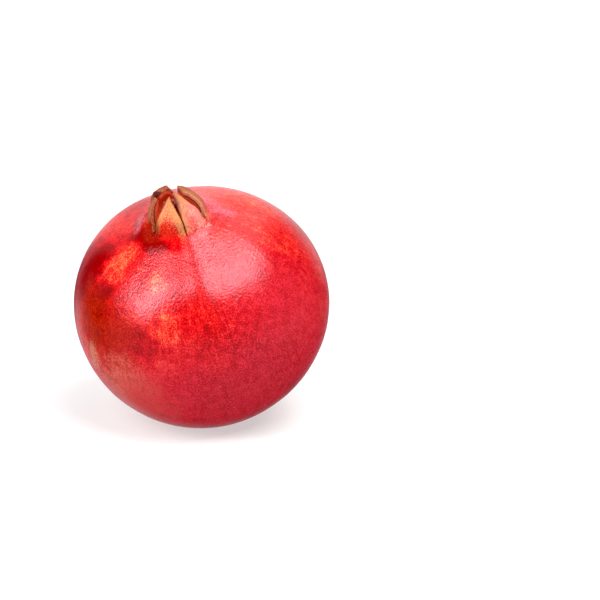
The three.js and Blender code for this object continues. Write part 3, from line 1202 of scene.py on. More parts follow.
@dataclass(frozen=True)
class RindFinish:
    """The fruit's finish: red skin that shines in places, and a dull ochre crown.

    Attributes:
        skin: The colours of the skin.
        crown: The colours of the crown.
        dull: Patches that shine less.
        gloss: How much the clean skin shines.
        gloss_loss: What clouds, streaks and the crown take from that.
        crown_foot: Heights about the rim where the crown's dullness starts and is full.
        roughness: Least roughness, what clouds add to it and what the crown adds.
        streak_spread: Scale of the streaks round the fruit.
        streak_stretch: Scale of the streaks along the fruit.
        painted_cup_glow: A painted glow that the crown's inside gives off, to lift the shade in the cup.
        painted_glow_inside: Shares of the way inside where that painted glow starts and is full.
        painted_glow_rise: Heights where that painted glow starts and is full.
        relief: Height of the leathery relief.
        fold_share: Share of the relief in its folds; the rest is grain.
        specular_tint: The tint of the shine.
        sheen: Weight and roughness of the soft sheen.
        sheen_tint: The tint of the sheen.
    """

    skin: SkinColours = SkinColours()
    crown: CrownColours = CrownColours()
    dull: tuple[Patch, ...] = (
        Patch(32, 18.5, 3.5, 3.5, 0.6),
        Patch(113, 53, 8, 9, 0.6),
        Patch(102, 21, 3, 6, 0.4),
        Patch(-10, 53, 4, 5, 0.25),
        Patch(-26, 16, 4, 5, 0.5),
        Patch(-49, 52, 11.5, 7.2, 0.75, 18),
        Patch(-49, 44, 4, 4, 0.4),
        Patch(-66, 70, 20, 9, 0.7),
        Patch(-8, 16.8, 3.8, 9, 0.95),
        Patch(-29, 58, 6, 8, 0.5),
        Patch(-26, 70, 10, 10, 0.6),
        Patch(31, 56, 7, 5, 0.4),
    )
    gloss: float = 1.65
    gloss_loss: tuple[float, float, float] = (1.5, 0.9, 0.5)
    crown_foot: Pair = (-1.5, 1.5)
    roughness: tuple[float, float, float] = (0.2, 0.10, 0.4)
    streak_spread: float = 36.0
    streak_stretch: float = 0.15
    # Painted glow: an emission in the cup that stands in for the light the sepals shade off.
    painted_cup_glow: Colour = (0.23, 0.010, 0.002)
    painted_glow_inside: Pair = (0.50, 0.70)
    painted_glow_rise: Pair = (1.0, 4.0)
    relief: float = 0.18
    fold_share: float = 0.4
    specular_tint: Colour = (1.0, 0.85, 0.97)
    sheen: Pair = (0.12, 0.24)
    sheen_tint: Colour = (1.0, 0.26, 0.62)

    def build(self, stance: Stance) -> bpy.types.Material:
        """Make the material.

        Args:
            stance: Where the fruit's axis stands.

        Returns:
            The material.
        """
        canvas = Canvas.start("rind", stance)
        web, streak = canvas.web, self._streaks(canvas)
        colour = self.crown.paint(canvas, self.skin.paint(canvas, streak))
        crown = canvas.rise.step(*self.crown_foot)
        by_cloud, by_streak, by_crown = self.gloss_loss
        gloss = self.gloss - by_cloud * canvas.noise(1.5, 3, 0.8) - by_streak * streak - by_crown * crown
        for patch in self.dull:
            gloss = gloss - patch.cover(web, canvas.place)
        # Mask of the painted glow, an emission that lifts the shade inside the cup.
        lit = canvas.inside.step(*self.painted_glow_inside) * canvas.rise.step(*self.painted_glow_rise)
        least, in_clouds, on_crown = self.roughness
        roughness = least + in_clouds * canvas.noise(0.5) + crown * on_crown
        sheen_weight, sheen_roughness = self.sheen
        return web.surface(
            self._relief(canvas), self.relief, gloss.clamped(),
            Base_Color=colour, Roughness=roughness, Specular_IOR_Level=0.5,
            Specular_Tint=(*self.specular_tint, 1.0), Sheen_Weight=sheen_weight,
            Sheen_Roughness=sheen_roughness, Sheen_Tint=(*self.sheen_tint, 1.0),
            Emission_Color=web.mix(lit, (0.0, 0.0, 0.0), self.painted_cup_glow), Emission_Strength=1.0,
        )

    def _streaks(self, canvas: Canvas) -> Number:
        """Make fine streaks that run from the crown to the stem.

        Args:
            canvas: What the fruit is painted on.

        Returns:
            The streaks, as a number about 0.
        """
        web = canvas.web
        spoke = web.vector("NORMALIZE", web.vector("MULTIPLY", canvas.place, (1.0, 1.0, 0.0)))
        along = web.vector("MULTIPLY", canvas.place, (0.0, 0.0, self.streak_stretch))
        place = web.vector("MULTIPLY_ADD", spoke, (self.streak_spread,) * 3, along)
        return web.noise(place, 0.9, 3, 0.7) - 0.5

    def _relief(self, canvas: Canvas) -> Number:
        """Make the fine leathery relief of the skin.

        Args:
            canvas: What the fruit is painted on.

        Returns:
            The relief, from 0 to 1.
        """
        folds = (canvas.noise(0.55, 1) - 0.5).absolute() * 2.0
        return folds * self.fold_share + canvas.noise(1.25, 1) * (1 - self.fold_share)


@dataclass(frozen=True)
class StubFinish:
    """The broken stem's finish: dry grey-brown bark.

    Attributes:
        light: The colour of its ridges.
        dark: The colour between them.
        fibre_scale: Scale of the fibres.
        fibre_stretch: Share of that scale from bottom to top.
        relief: Height of the fibres.
    """

    light: Colour = (0.33, 0.21, 0.12)
    dark: Colour = (0.10, 0.05, 0.025)
    fibre_scale: float = 2600
    fibre_stretch: float = 0.25
    relief: float = 0.25

    def build(self) -> bpy.types.Material:
        """Make the material.

        Returns:
            The material.
        """
        web = Web("stem_bark")
        place = web.vector("MULTIPLY", web.object_place(), (1.0, 1.0, self.fibre_stretch))
        fibre = web.noise(place, self.fibre_scale, 4, 0.6)
        colour = web.mix(fibre, self.dark, self.light)
        return web.surface(fibre, self.relief, Base_Color=colour, Roughness=0.85)


@dataclass(frozen=True)
class StamenFinish:
    """The dried stamens' finish: red-brown threads and heads.

    Attributes:
        thread: Two colours of the threads.
        head: Two colours of the heads.
        patch_scale: Scale of the patches where the one colour turns to the other.
        grain_scale: Scale of the relief.
        relief: Height of the relief.
    """

    thread: Shades = ((0.30, 0.017, 0.005), (0.25, 0.02, 0.008))
    head: Shades = ((0.30, 0.032, 0.009), (0.29, 0.036, 0.011))
    patch_scale: float = 700
    grain_scale: float = 2500
    relief: float = 0.08

    def build(self) -> bpy.types.Material:
        """Make the material.

        Returns:
            The material.
        """
        web = Web("stamens")
        place = web.object_place()
        patchy = web.noise(place, self.patch_scale, 3)
        thread, head = web.mix(patchy, *self.thread), web.mix(patchy, *self.head)
        colour = web.mix(web.mark("head"), thread, head)
        grain = web.noise(place, self.grain_scale)
        return web.surface(grain, self.relief, Base_Color=colour, Roughness=0.75)


@dataclass(frozen=True)
class FloorFinish:
    """The floor's finish: plain matt white, slightly lit so that it stays white.

    Attributes:
        colour: Its colour.
        grain_share: Share of that colour where its faint grain is darkest.
        grain_scale: Scale of the grain.
        glow: How much light it gives.
    """

    colour: Colour = (0.46, 0.46, 0.46)
    grain_share: float = 0.985
    grain_scale: float = 40
    glow: float = 0.53

    def build(self) -> bpy.types.Material:
        """Make the material.

        Returns:
            The material.
        """
        web = Web("pale_floor")
        grain = web.noise(web.object_place(), self.grain_scale)
        low = tuple(channel * self.grain_share for channel in self.colour)
        return web.surface(
            None, 0.0, Base_Color=web.mix(grain, low, self.colour), Roughness=0.9,
            Specular_IOR_Level=0.1, Emission_Color=(1.0,) * 4, Emission_Strength=self.glow,
        )


@dataclass
class Rind:
    """The fruit's skin, cup and sepals, as one closed mesh.

    Attributes:
        form: The fruit's shape.
        stance: Where its axis stands.
        finish: Its finish.
        faces_across: Faces across each sepal.
        steps_along: Rows of faces from a sepal's root to its tip.
        step_easing: How much closer those rows get towards the tip.
        edge_easing: How much closer the columns get towards a sepal's edges, where 1 is fully eased.
        rim_shares: Shares of the way inwards where the rim has its rings.
        cup_radii: Radii of the rings on the cup's floor.
        near_polars: Polar angles of the close rings near the crown.
        far_polars: Polar angles of the close rings near the stem.
        polar_step: Degrees between the rings in between.
        crown_length: The rise that is marked at a sepal's tip.
        stem_rise: The rise that is marked where the stem starts.
        floor_rise: The rise that is marked in the middle of the cup's floor.
        skin_margin: The distance from a sepal's edge that is marked on the skin.
        swellings: Size and height of the skin's uneven swellings.
        rough_rises: Rises where the crown's unevenness starts and is full.
        rough_noises: Scale and height of the noises that make the crown uneven.
        rough_seed: Seed of those noises.
        rings: The planned rings.
    """

    form: FruitForm
    stance: Stance
    finish: RindFinish = RindFinish()
    faces_across: int = 27
    steps_along: int = 18
    step_easing: float = 1.5
    edge_easing: float = 0.4
    rim_shares: tuple[float, ...] = (1.0, 0.84, 0.5, 0.16, 0.0)
    cup_radii: tuple[float, ...] = (1.8, 3.6, 5.2, 6.2)
    near_polars: tuple[float, ...] = (17.3, 18.1, 19.1, 20.3, 21.8, 23.6, 25.8, 28.3)
    far_polars: tuple[float, ...] = (168.5, 170.8, 172.8, 174.5, 176.0, 177.5, 179.0)
    polar_step: float = 2.95
    crown_length: float = 22.0
    stem_rise: float = -120.0
    floor_rise: float = -1.0
    skin_margin: float = 5.0
    swellings: tuple[Pair, ...] = ((13.0, 0.10), (5.5, 0.06), (2.6, 0.03))
    rough_rises: Pair = (0.5, 6.0)
    rough_noises: tuple[Pair, ...] = ((0.30, 0.30), (1.1, 0.07))
    rough_seed: int = 1_795_498_962
    rings: list[Ring] = field(default_factory=list)

    @property
    def columns(self) -> int:
        """The number of columns of faces round the fruit."""
        return len(SEPALS) * (self.faces_across + 1)

    def build(self) -> bpy.types.Object:
        """Model the piece and dress it.

        Returns:
            The finished object.
        """
        self.rings = self._plan_rings()
        skin = self._start_ball()
        self._shape_ball(skin)
        self._raise_sepals(skin)
        apply_modifier(skin, "SUBSURF", levels=1, render_levels=1)
        self._roughen(skin)
        skin.data.materials.append(self.finish.build(self.stance))
        shade_smooth(skin)
        return skin

    def _plan_rings(self) -> list[Ring]:
        """Plan the mesh's rings.

        Returns:
            The rings from the cup's floor over the rim and down to the stem.
        """
        polars = [self.form.rim_polar, *self.near_polars]
        while polars[-1] + self.polar_step < self.far_polars[0]:
            polars.append(polars[-1] + self.polar_step)
        return [
            *(Ring(Zone.CUP, radius) for radius in self.cup_radii),
            *(Ring(Zone.RIM, share) for share in self.rim_shares),
            *(Ring(Zone.SKIN, polar) for polar in (*polars[1:], *self.far_polars)),
        ]

    def _start_ball(self) -> bpy.types.Object:
        """Add the ball that the fruit is shaped from.

        Returns:
            The ball, with one ring of points for each planned ring.
        """
        deselect_all()
        bpy.ops.mesh.primitive_uv_sphere_add(
            segments=self.columns,
            ring_count=len(self.rings) + 1,
            radius=self.form.equator_radius * MM,
            location=Vector(self.stance.middle) * MM,
            rotation=(math.radians(self.stance.lean), 0, 0),
        )
        ball = bpy.context.object
        ball.name = ball.data.name = "rind"
        bpy.ops.object.transform_apply(location=True, rotation=True, scale=True)
        return ball

    def _sepal(self, column: int) -> Sepal:
        """Return the sepal that a column of points runs up."""
        return SEPALS[column // (self.faces_across + 1)]

    def _across(self, column: int) -> float:
        """Set the columns a little closer near the edges of their sepal.

        Args:
            column: The column of points.

        Returns:
            Its share of the way across its sepal.
        """
        even = (column % (self.faces_across + 1)) / self.faces_across
        eased = 0.5 - 0.5 * math.cos(math.pi * even)
        return lerp(even, eased, self.edge_easing)

    def _azimuth(self, column: int) -> float:
        """Return the azimuth of a column of points on the skin."""
        return azimuth_of(self._crown_place(column, self.form.rim_share, 0.0))

    def _crown_place(self, column: int, along: float, share: float) -> Vector:
        """Find a point of the crown.

        Args:
            column: Its column of points.
            along: Share of the way from the sepal's root to its tip.
            share: Share of the way from the outer face to the inner one.

        Returns:
            The point about the fruit's axis.
        """
        return self.form.crown_point(self._sepal(column), along, self._across(column), share)

    def _ring_place(self, ring: Ring, column: int) -> Vector:
        """Find a point of a ring before the sepals are raised.

        Args:
            ring: Its ring.
            column: Its column of points.

        Returns:
            The point about the fruit's axis.
        """
        form = self.form
        if ring.zone is Zone.RIM:
            return self._crown_place(column, form.rim_share, ring.place)
        azimuth = self._azimuth(column)
        if ring.zone is Zone.CUP:
            return around(ring.place, azimuth, form.crown_base + form.cup_floor)
        point = form.skin_point(ring.place, azimuth)
        return point + point.normalized() * self._swelling(point)

    def _swelling(self, point: Vector) -> float:
        """Work out how far the skin swells out unevenly at a place.

        Args:
            point: The place about the fruit's axis.

        Returns:
            The height of the swelling.
        """
        return sum(
            height * noise.noise(point / size + Vector((size, 0, 0)))
            for size, height in self.swellings
        )

    def _shaped(self, row: int, column: int) -> tuple[Vector, float, float]:
        """Work out where a point of the ball goes and what it is marked with.

        Args:
            row: Its row below the middle of the cup's floor, which is row -1.
            column: Its column of points.

        Returns:
            The point about the fruit's axis, its share of the way inside and its rise.
        """
        form = self.form
        if row < 0:
            return Vector((0, 0, form.crown_base + form.cup_floor)), 1.0, self.floor_rise
        if row >= len(self.rings):
            return form.skin_point(180, 0), 0.0, self.stem_rise
        ring = self.rings[row]
        inside = {Zone.CUP: 1.0, Zone.RIM: ring.place, Zone.SKIN: 0.0}[ring.zone]
        rise = 0.0
        if ring.zone is Zone.SKIN:
            rise = math.radians(form.rim_polar - ring.place) * form.pole_radius
        return self._ring_place(ring, column), inside, rise

    def _shape_ball(self, ball: bpy.types.Object) -> None:
        """Move the ball's points onto the fruit and mark them.

        Args:
            ball: The ball, with a ring of points for each planned ring.
        """
        stand = self.stance.matrix()
        lay = stand.inverted()
        mesh = bmesh.new()
        mesh.from_mesh(ball.data)
        column_layer = mesh.verts.layers.int.new("column")
        inside_layer, rise_layer, margin_layer = (
            mesh.verts.layers.float.new(name) for name in ("inside", "rise", "margin")
        )
        for vert in mesh.verts:
            local = lay @ vert.co
            polar = math.degrees(local.angle(Vector((0, 0, 1))))
            row = round(polar * (len(self.rings) + 1) / 180) - 1
            column = round(azimuth_of(local) * self.columns / 360) % self.columns
            place, inside, rise = self._shaped(row, column)
            vert.co = stand @ place
            vert[column_layer] = column
            vert[inside_layer] = inside
            vert[rise_layer] = rise
            vert[margin_layer] = self.skin_margin
        mesh.to_mesh(ball.data)
        mesh.free()

    def _raise_sepals(self, skin: bpy.types.Object) -> None:
        """Extrude the rim between the slits, step by step, and set each new row in its place.

        Args:
            skin: The shaped ball.
        """
        stand = self.stance.matrix()
        mesh = open_faces(skin)
        layers = mesh.verts.layers
        for face in mesh.faces:
            sepals = {vert[layers.int["column"]] // (self.faces_across + 1) for vert in face.verts}
            on_rim = all(vert[layers.float["rise"]] == 0.0 for vert in face.verts)
            face.select_set(on_rim and len(sepals) == 1)
        bmesh.update_edit_mesh(skin.data)
        for step in range(1, self.steps_along + 1):
            bpy.ops.mesh.extrude_region_move()
            mesh = bmesh.from_edit_mesh(skin.data)
            layers = mesh.verts.layers
            climb = 1 - (1 - step / self.steps_along) ** self.step_easing
            along = lerp(self.form.rim_share, 1.0, climb)
            for vert in mesh.verts:
                if not vert.select:
                    continue
                column = vert[layers.int["column"]]
                place = self._crown_place(column, along, vert[layers.float["inside"]])
                vert.co = stand @ place
                vert[layers.float["rise"]] = along * self.crown_length
                vert[layers.float["margin"]] = self._margin(column, along)
            bmesh.update_edit_mesh(skin.data)
        bpy.ops.object.mode_set(mode="OBJECT")

    def _margin(self, column: int, along: float) -> float:
        """Work out how far a point of a sepal lies from the nearer of its two edges.

        Args:
            column: Its column of points.
            along: Share of the way from the sepal's root to its tip.

        Returns:
            The distance.
        """
        width = sum(self.form.half_widths(self._sepal(column), along))
        across = self._across(column)
        return min(across, 1 - across) * width

    def _roughen(self, skin: bpy.types.Object) -> None:
        """Make the crown slightly uneven and press the flat spot flat.

        Args:
            skin: The fruit's mesh, with its sepals.
        """
        noise.seed_set(self.rough_seed)
        stand = self.stance.matrix()
        lay = stand.inverted()
        rises = skin.data.attributes["rise"].data
        for vert, mark in zip(skin.data.vertices, rises):
            if mark.value > self.rough_rises[0]:
                local = lay @ vert.co
                share = smooth_step(mark.value, *self.rough_rises)
                for scale, height in self.rough_noises:
                    local += noise.noise_vector(local * scale) * height * share
                vert.co = stand @ local
            vert.co.z = max(vert.co.z, 0.0)


@dataclass
class StemStub:
    """The short dry stub where the fruit was cut from its stem.

    Attributes:
        form: The fruit's shape.
        stance: Where its axis stands.
        finish: Its finish.
        radius: Its radius.
        sides: Its number of sides.
        outline: Shares of the radius with their heights above the dimple, from its root to its end.
        start_depth: Length of the cylinder that it is drawn out of.
        end_insets: Thickness and depth of the insets that hollow its broken end.
        bevel: Width of its rounded edges.
        ridge_scales: Scale of the bark's ridges round the stub and along it.
        ridge_height: Height of the ridges, as a share of the radius.
        ragged_scale: Scale of the end's uneven edge.
        ragged_height: Height of that.
    """

    form: FruitForm
    stance: Stance
    finish: StubFinish = StubFinish()
    radius: float = 2.7
    sides: int = 20
    outline: tuple[Pair, ...] = ((1.35, 2.5), (1.3, 0.5), (1.02, -0.7), (0.92, -1.8), (1.0, -3.0))
    start_depth: float = 1.0
    end_insets: tuple[Pair, ...] = ((0.5, 0.0), (0.9, -0.35), (0.7, 0.0))
    bevel: float = 0.25
    ridge_scales: Pair = (1.3, 0.25)
    ridge_height: float = 0.09
    ragged_scale: float = 0.9
    ragged_height: float = 0.25

    def build(self) -> bpy.types.Object:
        """Model the piece and dress it.

        Returns:
            The finished object.
        """
        seat = self.form.dimple_depth - self.form.pole_radius
        share, height = self.outline[0]
        middle = seat + height + self.start_depth / 2
        stub = add_cylinder(self.sides, self.radius * share, self.start_depth, middle)
        stub.name = stub.data.name = "stem_stub"
        self._draw_out(stub, seat)
        apply_modifier(stub, "BEVEL", width=self.bevel, segments=2, limit_method="ANGLE")
        apply_modifier(stub, "SUBSURF", levels=1, render_levels=1)
        self._split_bark(stub)
        stub.data.transform(self.stance.matrix())
        stub.data.materials.append(self.finish.build())
        shade_smooth(stub)
        return stub

    def _draw_out(self, stub: bpy.types.Object, seat: float) -> None:
        """Extrude the cylinder's lower end through the outline and hollow the broken end slightly.

        Args:
            stub: The cylinder.
            seat: The height that the outline is counted from.
        """
        open_end(stub, End.FOOT)
        for (before, top), (share, height) in zip(self.outline, self.outline[1:]):
            bpy.ops.mesh.extrude_region_move(TRANSFORM_OT_translate={"value": (0, 0, height - top)})
            bpy.ops.transform.resize(
                value=(share / before, share / before, 1), center_override=(0, 0, seat + height)
            )
        for thickness, depth in self.end_insets:
            bpy.ops.mesh.inset(thickness=thickness, depth=depth)
        bpy.ops.object.mode_set(mode="OBJECT")

    def _split_bark(self, stub: bpy.types.Object) -> None:
        """Give the bark its ridges and the broken end its uneven edge.

        Args:
            stub: The drawn-out stub.
        """
        sideways, along = self.ridge_scales
        for vert in stub.data.vertices:
            spread = Vector((vert.co.x, vert.co.y, 0))
            grain = Vector((vert.co.x * sideways, vert.co.y * sideways, vert.co.z * along))
            vert.co += spread * self.ridge_height * noise.noise(grain)
            vert.co.z += self.ragged_height * noise.noise(vert.co * self.ragged_scale)


@dataclass(frozen=True)
class StamenForm:
    """The shape of one stamen, which stands about the origin before it is copied.

    Attributes:
        radius: Radius of its thread.
        sides: Sides of its thread.
        length: Height of its head's middle.
        joint: Length of each joint of the thread.
        bow: For each joint, how far it bows sideways and the share of its width that it keeps.
        head_radius: Radius of the ball that the head is shaped from.
        head_side: How far the head stands to the side.
        head_scale: Shares that the ball is scaled by.
        groove: Half the width of the groove round the head.
        groove_scale: Shares that the head is scaled by in its groove.
    """

    radius: float = 0.22
    sides: int = 6
    length: float = 6.0
    joint: float = 1.2
    bow: tuple[Pair, ...] = ((0.18, 0.95), (0.10, 0.95), (-0.02, 0.9), (-0.14, 0.9))
    head_radius: float = 0.62
    head_side: float = 0.12
    head_scale: tuple[float, float, float] = (0.62, 1.15, 0.8)
    groove: float = 0.16
    groove_scale: tuple[float, float, float] = (0.55, 1, 0.7)

    def build(self) -> bpy.types.Object:
        """Model a stamen.

        Returns:
            Its thread and head as one object, with the head's points marked.
        """
        stamen = add_cylinder(self.sides, self.radius, self.joint, self.joint / 2)
        open_end(stamen, End.TOP)
        for sideways, width in self.bow:
            move = {"value": (sideways, 0, self.joint)}
            bpy.ops.mesh.extrude_region_move(TRANSFORM_OT_translate=move)
            bpy.ops.transform.resize(value=(width, width, 1))
        bpy.ops.object.mode_set(mode="OBJECT")
        stamen.data.attributes.new("head", "FLOAT", "POINT")
        head = self._head()
        deselect_all()
        stamen.select_set(True)
        head.select_set(True)
        bpy.context.view_layer.objects.active = stamen
        bpy.ops.object.join()
        return stamen

    def _head(self) -> bpy.types.Object:
        """Model a stamen's head: two lobes with a groove between them.

        Returns:
            The head, with its points marked.
        """
        middle = (self.head_side, 0, self.length)
        deselect_all()
        bpy.ops.mesh.primitive_uv_sphere_add(
            segments=10, ring_count=6, radius=self.head_radius, location=middle
        )
        bpy.ops.object.transform_apply(location=True, rotation=True, scale=True)
        head = bpy.context.object
        bpy.ops.object.mode_set(mode="EDIT")
        bpy.ops.mesh.select_all(action="SELECT")
        bpy.ops.transform.resize(value=self.head_scale, center_override=middle)
        bpy.ops.mesh.select_mode(type="VERT")
        bpy.ops.mesh.select_all(action="DESELECT")
        mesh = bmesh.from_edit_mesh(head.data)
        for vert in mesh.verts:
            vert.select_set(abs(vert.co.y) < self.groove)
        bmesh.update_edit_mesh(head.data)
        bpy.ops.transform.resize(value=self.groove_scale, center_override=middle)
        bpy.ops.object.mode_set(mode="OBJECT")
        marks = head.data.attributes.new("head", "FLOAT", "POINT")
        marks.data.foreach_set("value", [1.0] * len(head.data.vertices))
        return head


@dataclass
class StamenTuft:
    """The dried stamens that stand on a pad in the crown's cup.

    Attributes:
        form: The fruit's shape.
        stance: Where its axis stands.
        finish: Its finish.
        stamen: The shape of one stamen.
        clearance: Gap between the cup's floor and the pad.
        pad_radius: Radius of the pad.
        pad_sides: Sides of the pad.
        pad_thickness: Thickness of the pad.
        pad_insets: Thickness and depth of the insets that sink its top.
        pad_bevel: Width of its rounded edges.
        pad_border: Width of the pad's border, where no stamen stands.
        count: Number of stamens.
        heights: Least and greatest height of a stamen's head above the pad.
        spread: Distance from the tuft's axis to the outermost heads.
        wander: Degrees that the heads wander round the axis, from end to end.
        lean_distance: How far the heads lean towards the front.
        lean_azimuth: Azimuth of the front.
        front_rise: Share that the stamens in front are longer.
        sink: How far the threads reach into the pad.
        golden_turn: Degrees from one stamen to the next.
        seed: Seed of the random numbers.
    """

    form: FruitForm
    stance: Stance
    finish: StamenFinish = StamenFinish()
    stamen: StamenForm = StamenForm()
    clearance: float = 0.35
    pad_radius: float = 5.8
    pad_sides: int = 40
    pad_thickness: float = 0.9
    pad_insets: tuple[Pair, ...] = ((0.5, 0.0), (1.2, -0.08), (1.5, -0.08), (1.3, 0.0))
    pad_bevel: float = 0.2
    pad_border: float = 0.9
    count: int = 64
    heights: Pair = (4.6, 7.8)
    spread: float = 3.2
    wander: float = 30.0
    lean_distance: float = 1.8
    lean_azimuth: float = 45.0
    front_rise: float = 0.25
    sink: float = 0.4
    golden_turn: float = 137.5
    seed: int = 7

    def build(self) -> bpy.types.Object:
        """Model the piece and dress it.

        Returns:
            The finished object.
        """
        pad = self._pad()
        pattern = self.stamen.build()
        draw = random.Random(self.seed)
        copies = [self._place(pattern, index, draw) for index in range(self.count)]
        bpy.data.objects.remove(pattern)
        deselect_all()
        for piece in (*copies, pad):
            piece.select_set(True)
        bpy.context.view_layer.objects.active = pad
        bpy.ops.object.join()
        pad.name = pad.data.name = "stamens"
        pad.data.transform(self.stance.matrix())
        pad.data.materials.append(self.finish.build())
        shade_smooth(pad)
        return pad

    def _pad_foot(self) -> float:
        """Return the height of the pad's underside."""
        return self.form.crown_base + self.form.cup_floor + self.clearance

    def _pad(self) -> bpy.types.Object:
        """Model the pad, with a soft rim and a slightly sunken top.

        Returns:
            The pad.
        """
        middle = self._pad_foot() + self.pad_thickness / 2
        pad = add_cylinder(self.pad_sides, self.pad_radius, self.pad_thickness, middle)
        open_end(pad, End.TOP)
        for thickness, depth in self.pad_insets:
            bpy.ops.mesh.inset(thickness=thickness, depth=depth)
        bpy.ops.object.mode_set(mode="OBJECT")
        apply_modifier(pad, "BEVEL", width=self.pad_bevel, segments=2, limit_method="ANGLE")
        pad.data.attributes.new("head", "FLOAT", "POINT")
        return pad

    def _place(self, pattern: bpy.types.Object, index: int, draw: random.Random) -> bpy.types.Object:
        """Copy the stamen and set the copy on the pad, leaning to the middle.

        Args:
            pattern: The stamen to copy.
            index: Which copy this is.
            draw: The seeded random numbers.

        Returns:
            The copy, with its own mesh.
        """
        out = math.sqrt((index + 0.5) / self.count)
        azimuth = index * self.golden_turn
        top = self._pad_foot() + self.pad_thickness
        foot = around(out * (self.pad_radius - self.pad_border), azimuth, top - self.sink)
        reach = 1 + self.front_rise * math.cos(math.radians(azimuth - self.lean_azimuth)) * out
        turn = self.wander * (draw.random() - 0.5)
        height = top + lerp(*self.heights, draw.random()) * reach
        lean = around(self.lean_distance, self.lean_azimuth, 0)
        span = around(out * self.spread, azimuth + turn, height) + lean - foot
        copy = pattern.copy()
        copy.data = pattern.data.copy()
        bpy.context.collection.objects.link(copy)
        aim = span.to_track_quat("Z", "Y").to_matrix().to_4x4()
        spin = Matrix.Rotation(draw.uniform(0, 2 * math.pi), 4, "Z")
        size = Matrix.Scale(span.length / self.stamen.length, 4)
        copy.data.transform(Matrix.Translation(foot) @ aim @ spin @ size)
        return copy


@dataclass(frozen=True)
class Softbox:
    """A studio light with a rectangular face.

    Attributes:
        right: Part of its direction to the camera's right.
        up: Part of its direction up from the camera's line.
        back: Part of its direction towards the camera.
        distance: Metres from the fruit.
        width: Width in metres.
        height: Height in metres.
        radiance: How bright its face is, where 1 is a white surface.
        roll: Degrees that it is turned about its own axis.
    """

    right: float
    up: float
    back: float
    distance: float
    width: float
    height: float
    radiance: float
    roll: float = 0.0


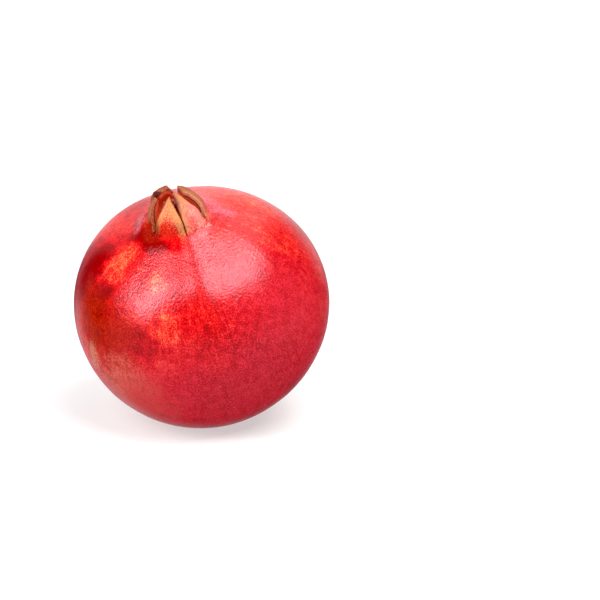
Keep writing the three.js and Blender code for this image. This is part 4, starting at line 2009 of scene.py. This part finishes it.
@dataclass
class Studio:
    """The pale floor, the soft lights and the camera.

    Attributes:
        stance: Where the fruit's axis stands.
        azimuth: Azimuth of the camera about the fruit.
        elevation: Elevation of the camera above the floor.
        distance: Metres from the fruit to the camera.
        picture_side: Pixels along each side of the picture.
        pixels_per_mm: Scale of the picture at the fruit.
        fruit_pixel: The pixel where the fruit's middle shows.
        sensor: Width of the camera's sensor.
        clip: Metres from the camera where the picture starts and stops.
        floor_side: Metres along each side of the floor.
        glow: Least and greatest brightness of the surroundings.
        glow_middle: Parts of the direction where they are brightest: right, up and towards the camera.
        glow_between: Cosines of the angles from that direction where the glow starts and is full.
        floor_finish: The floor's finish.
        lights: The softboxes by name.
    """

    stance: Stance
    azimuth: float = 31.0
    elevation: float = 18.0
    distance: float = 2.5
    picture_side: int = 600
    pixels_per_mm: float = 2.75
    fruit_pixel: Pair = (202.1, 305.6)
    sensor: float = 36.0
    clip: Pair = (0.05, 50)
    floor_side: float = 9.0
    glow: Pair = (0.03, 0.75)
    glow_middle: tuple[float, float, float] = (-0.35, 0.25, -0.9)
    glow_between: Pair = (0.62, 1.0)
    floor_finish: FloorFinish = FloorFinish()
    lights: dict[str, Softbox] = field(default_factory=lambda: {
        "left_softbox": Softbox(-0.68, 0.415, 0.62, 1.2, 0.56, 1.20, 6.1, -20),
        "left_core": Softbox(-0.71, 0.375, 0.61, 1.15, 0.34, 0.62, 5.5, -20),
        "right_softbox": Softbox(0.34, 0.715, 0.585, 1.2, 0.86, 0.88, 9.1),
        "top_softbox": Softbox(0.35, 0.92, -0.15, 1.3, 0.80, 0.80, 1.6),
        "back_softbox": Softbox(0.26, 0.56, -0.78, 1.3, 1.20, 1.20, 0.55),
        "side_softbox": Softbox(0.95, 0.05, 0.31, 1.3, 1.50, 1.50, 0.25),
    })

    def build(self) -> None:
        """Set up floor, lights, surroundings and camera."""
        self._floor()
        for name, box in self.lights.items():
            self._softbox(name, box)
        self._surroundings()
        self._camera()
        bpy.context.scene.view_settings.view_transform = "Standard"

    def _axes(self) -> tuple[Vector, Vector, Vector]:
        """Work out the camera's directions.

        Returns:
            Its right, its up, and the direction from the fruit to it.
        """
        turn, climb = math.radians(self.azimuth), math.radians(self.elevation)
        right = Vector((math.cos(turn), math.sin(turn), 0))
        level = Vector((math.sin(turn), -math.cos(turn), 0))
        back = level * math.cos(climb) + Vector((0, 0, math.sin(climb)))
        return right, back.cross(right), back

    def _direction(self, parts: tuple[float, float, float]) -> Vector:
        """Return the unit direction that has given parts to the camera's right, up and towards it."""
        return sum((axis * part for axis, part in zip(self._axes(), parts)), Vector()).normalized()

    def _surroundings(self) -> None:
        """Make surroundings that glow softly behind the fruit, for its skin to mirror."""
        world = bpy.data.worlds.new("studio")
        world.use_nodes = True
        tree = world.node_tree
        behind = tree.nodes.new("ShaderNodeVectorMath")
        behind.operation = "DOT_PRODUCT"
        behind.inputs[1].default_value = self._direction(self.glow_middle)
        tree.links.new(tree.nodes.new("ShaderNodeTexCoord").outputs["Generated"], behind.inputs[0])
        glow = tree.nodes.new("ShaderNodeMapRange")
        tree.links.new(behind.outputs["Value"], glow.inputs["Value"])
        names = ("From Min", "From Max", "To Min", "To Max")
        for name, value in zip(names, (*self.glow_between, *self.glow)):
            glow.inputs[name].default_value = value
        background = tree.nodes["Background"]
        tree.links.new(glow.outputs[0], background.inputs["Strength"])
        background.inputs["Color"].default_value = (1, 1, 1, 1)
        bpy.context.scene.world = world

    def _floor(self) -> None:
        """Lay the floor."""
        deselect_all()
        bpy.ops.mesh.primitive_plane_add(size=self.floor_side)
        floor = bpy.context.object
        floor.name = floor.data.name = "floor"
        floor.data.materials.append(self.floor_finish.build())
        floor.visible_glossy = False

    def _softbox(self, name: str, box: Softbox) -> None:
        """Hang a softbox so that it faces the fruit.

        Args:
            name: The light's name.
            box: The softbox.
        """
        direction = self._direction((box.right, box.up, box.back))
        light = bpy.data.lights.new(name, "AREA")
        light.shape = "RECTANGLE"
        light.size, light.size_y = box.width, box.height
        light.energy = box.radiance * math.pi * box.width * box.height
        lamp = bpy.data.objects.new(name, light)
        bpy.context.collection.objects.link(lamp)
        lamp.location = Vector(self.stance.middle) * MM + direction * box.distance
        aim = direction.to_track_quat("Z", "Y").to_matrix()
        lamp.rotation_euler = (aim @ Matrix.Rotation(math.radians(box.roll), 3, "Z")).to_euler()
        lamp.visible_camera = False

    def _camera(self) -> None:
        """Set up the camera, far off with a long lens."""
        right, up, back = self._axes()
        half = self.picture_side / 2
        scale = MM / self.pixels_per_mm
        across, down = self.fruit_pixel
        aim = Vector(self.stance.middle) * MM
        aim += right * (half - across) * scale + up * (down - half) * scale
        lens = bpy.data.cameras.new("camera")
        lens.sensor_width = self.sensor
        lens.lens = self.sensor * self.distance / (self.picture_side * scale)
        lens.clip_start, lens.clip_end = self.clip
        camera = bpy.data.objects.new("camera", lens)
        bpy.context.collection.objects.link(camera)
        camera.location = aim + back * self.distance
        camera.rotation_euler = back.to_track_quat("Z", "Y").to_euler()
        bpy.context.scene.camera = camera


def attach(piece: bpy.types.Object, node: str) -> None:
    """Let a piece stand for a node of the frame and report it.

    Args:
        piece: The dressed piece.
        node: The node that it stands for.
    """
    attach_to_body(piece, "root")
    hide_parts(node)
    LOG.info("%s stands for %s: %d faces", piece.name, node, len(piece.data.polygons))


def main() -> None:
    """Build the studio and the fruit's pieces in order."""
    logging.basicConfig(level=logging.INFO, format="%(name)s: %(message)s")
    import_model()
    stance, form = Stance(), FruitForm()
    Studio(stance).build()
    attach(Rind(form, stance).build(), "fruit")
    attach(StemStub(form, stance).build(), "fruit")
    attach(StamenTuft(form, stance).build(), "stamens")


if __name__ == "__main__":
    main()
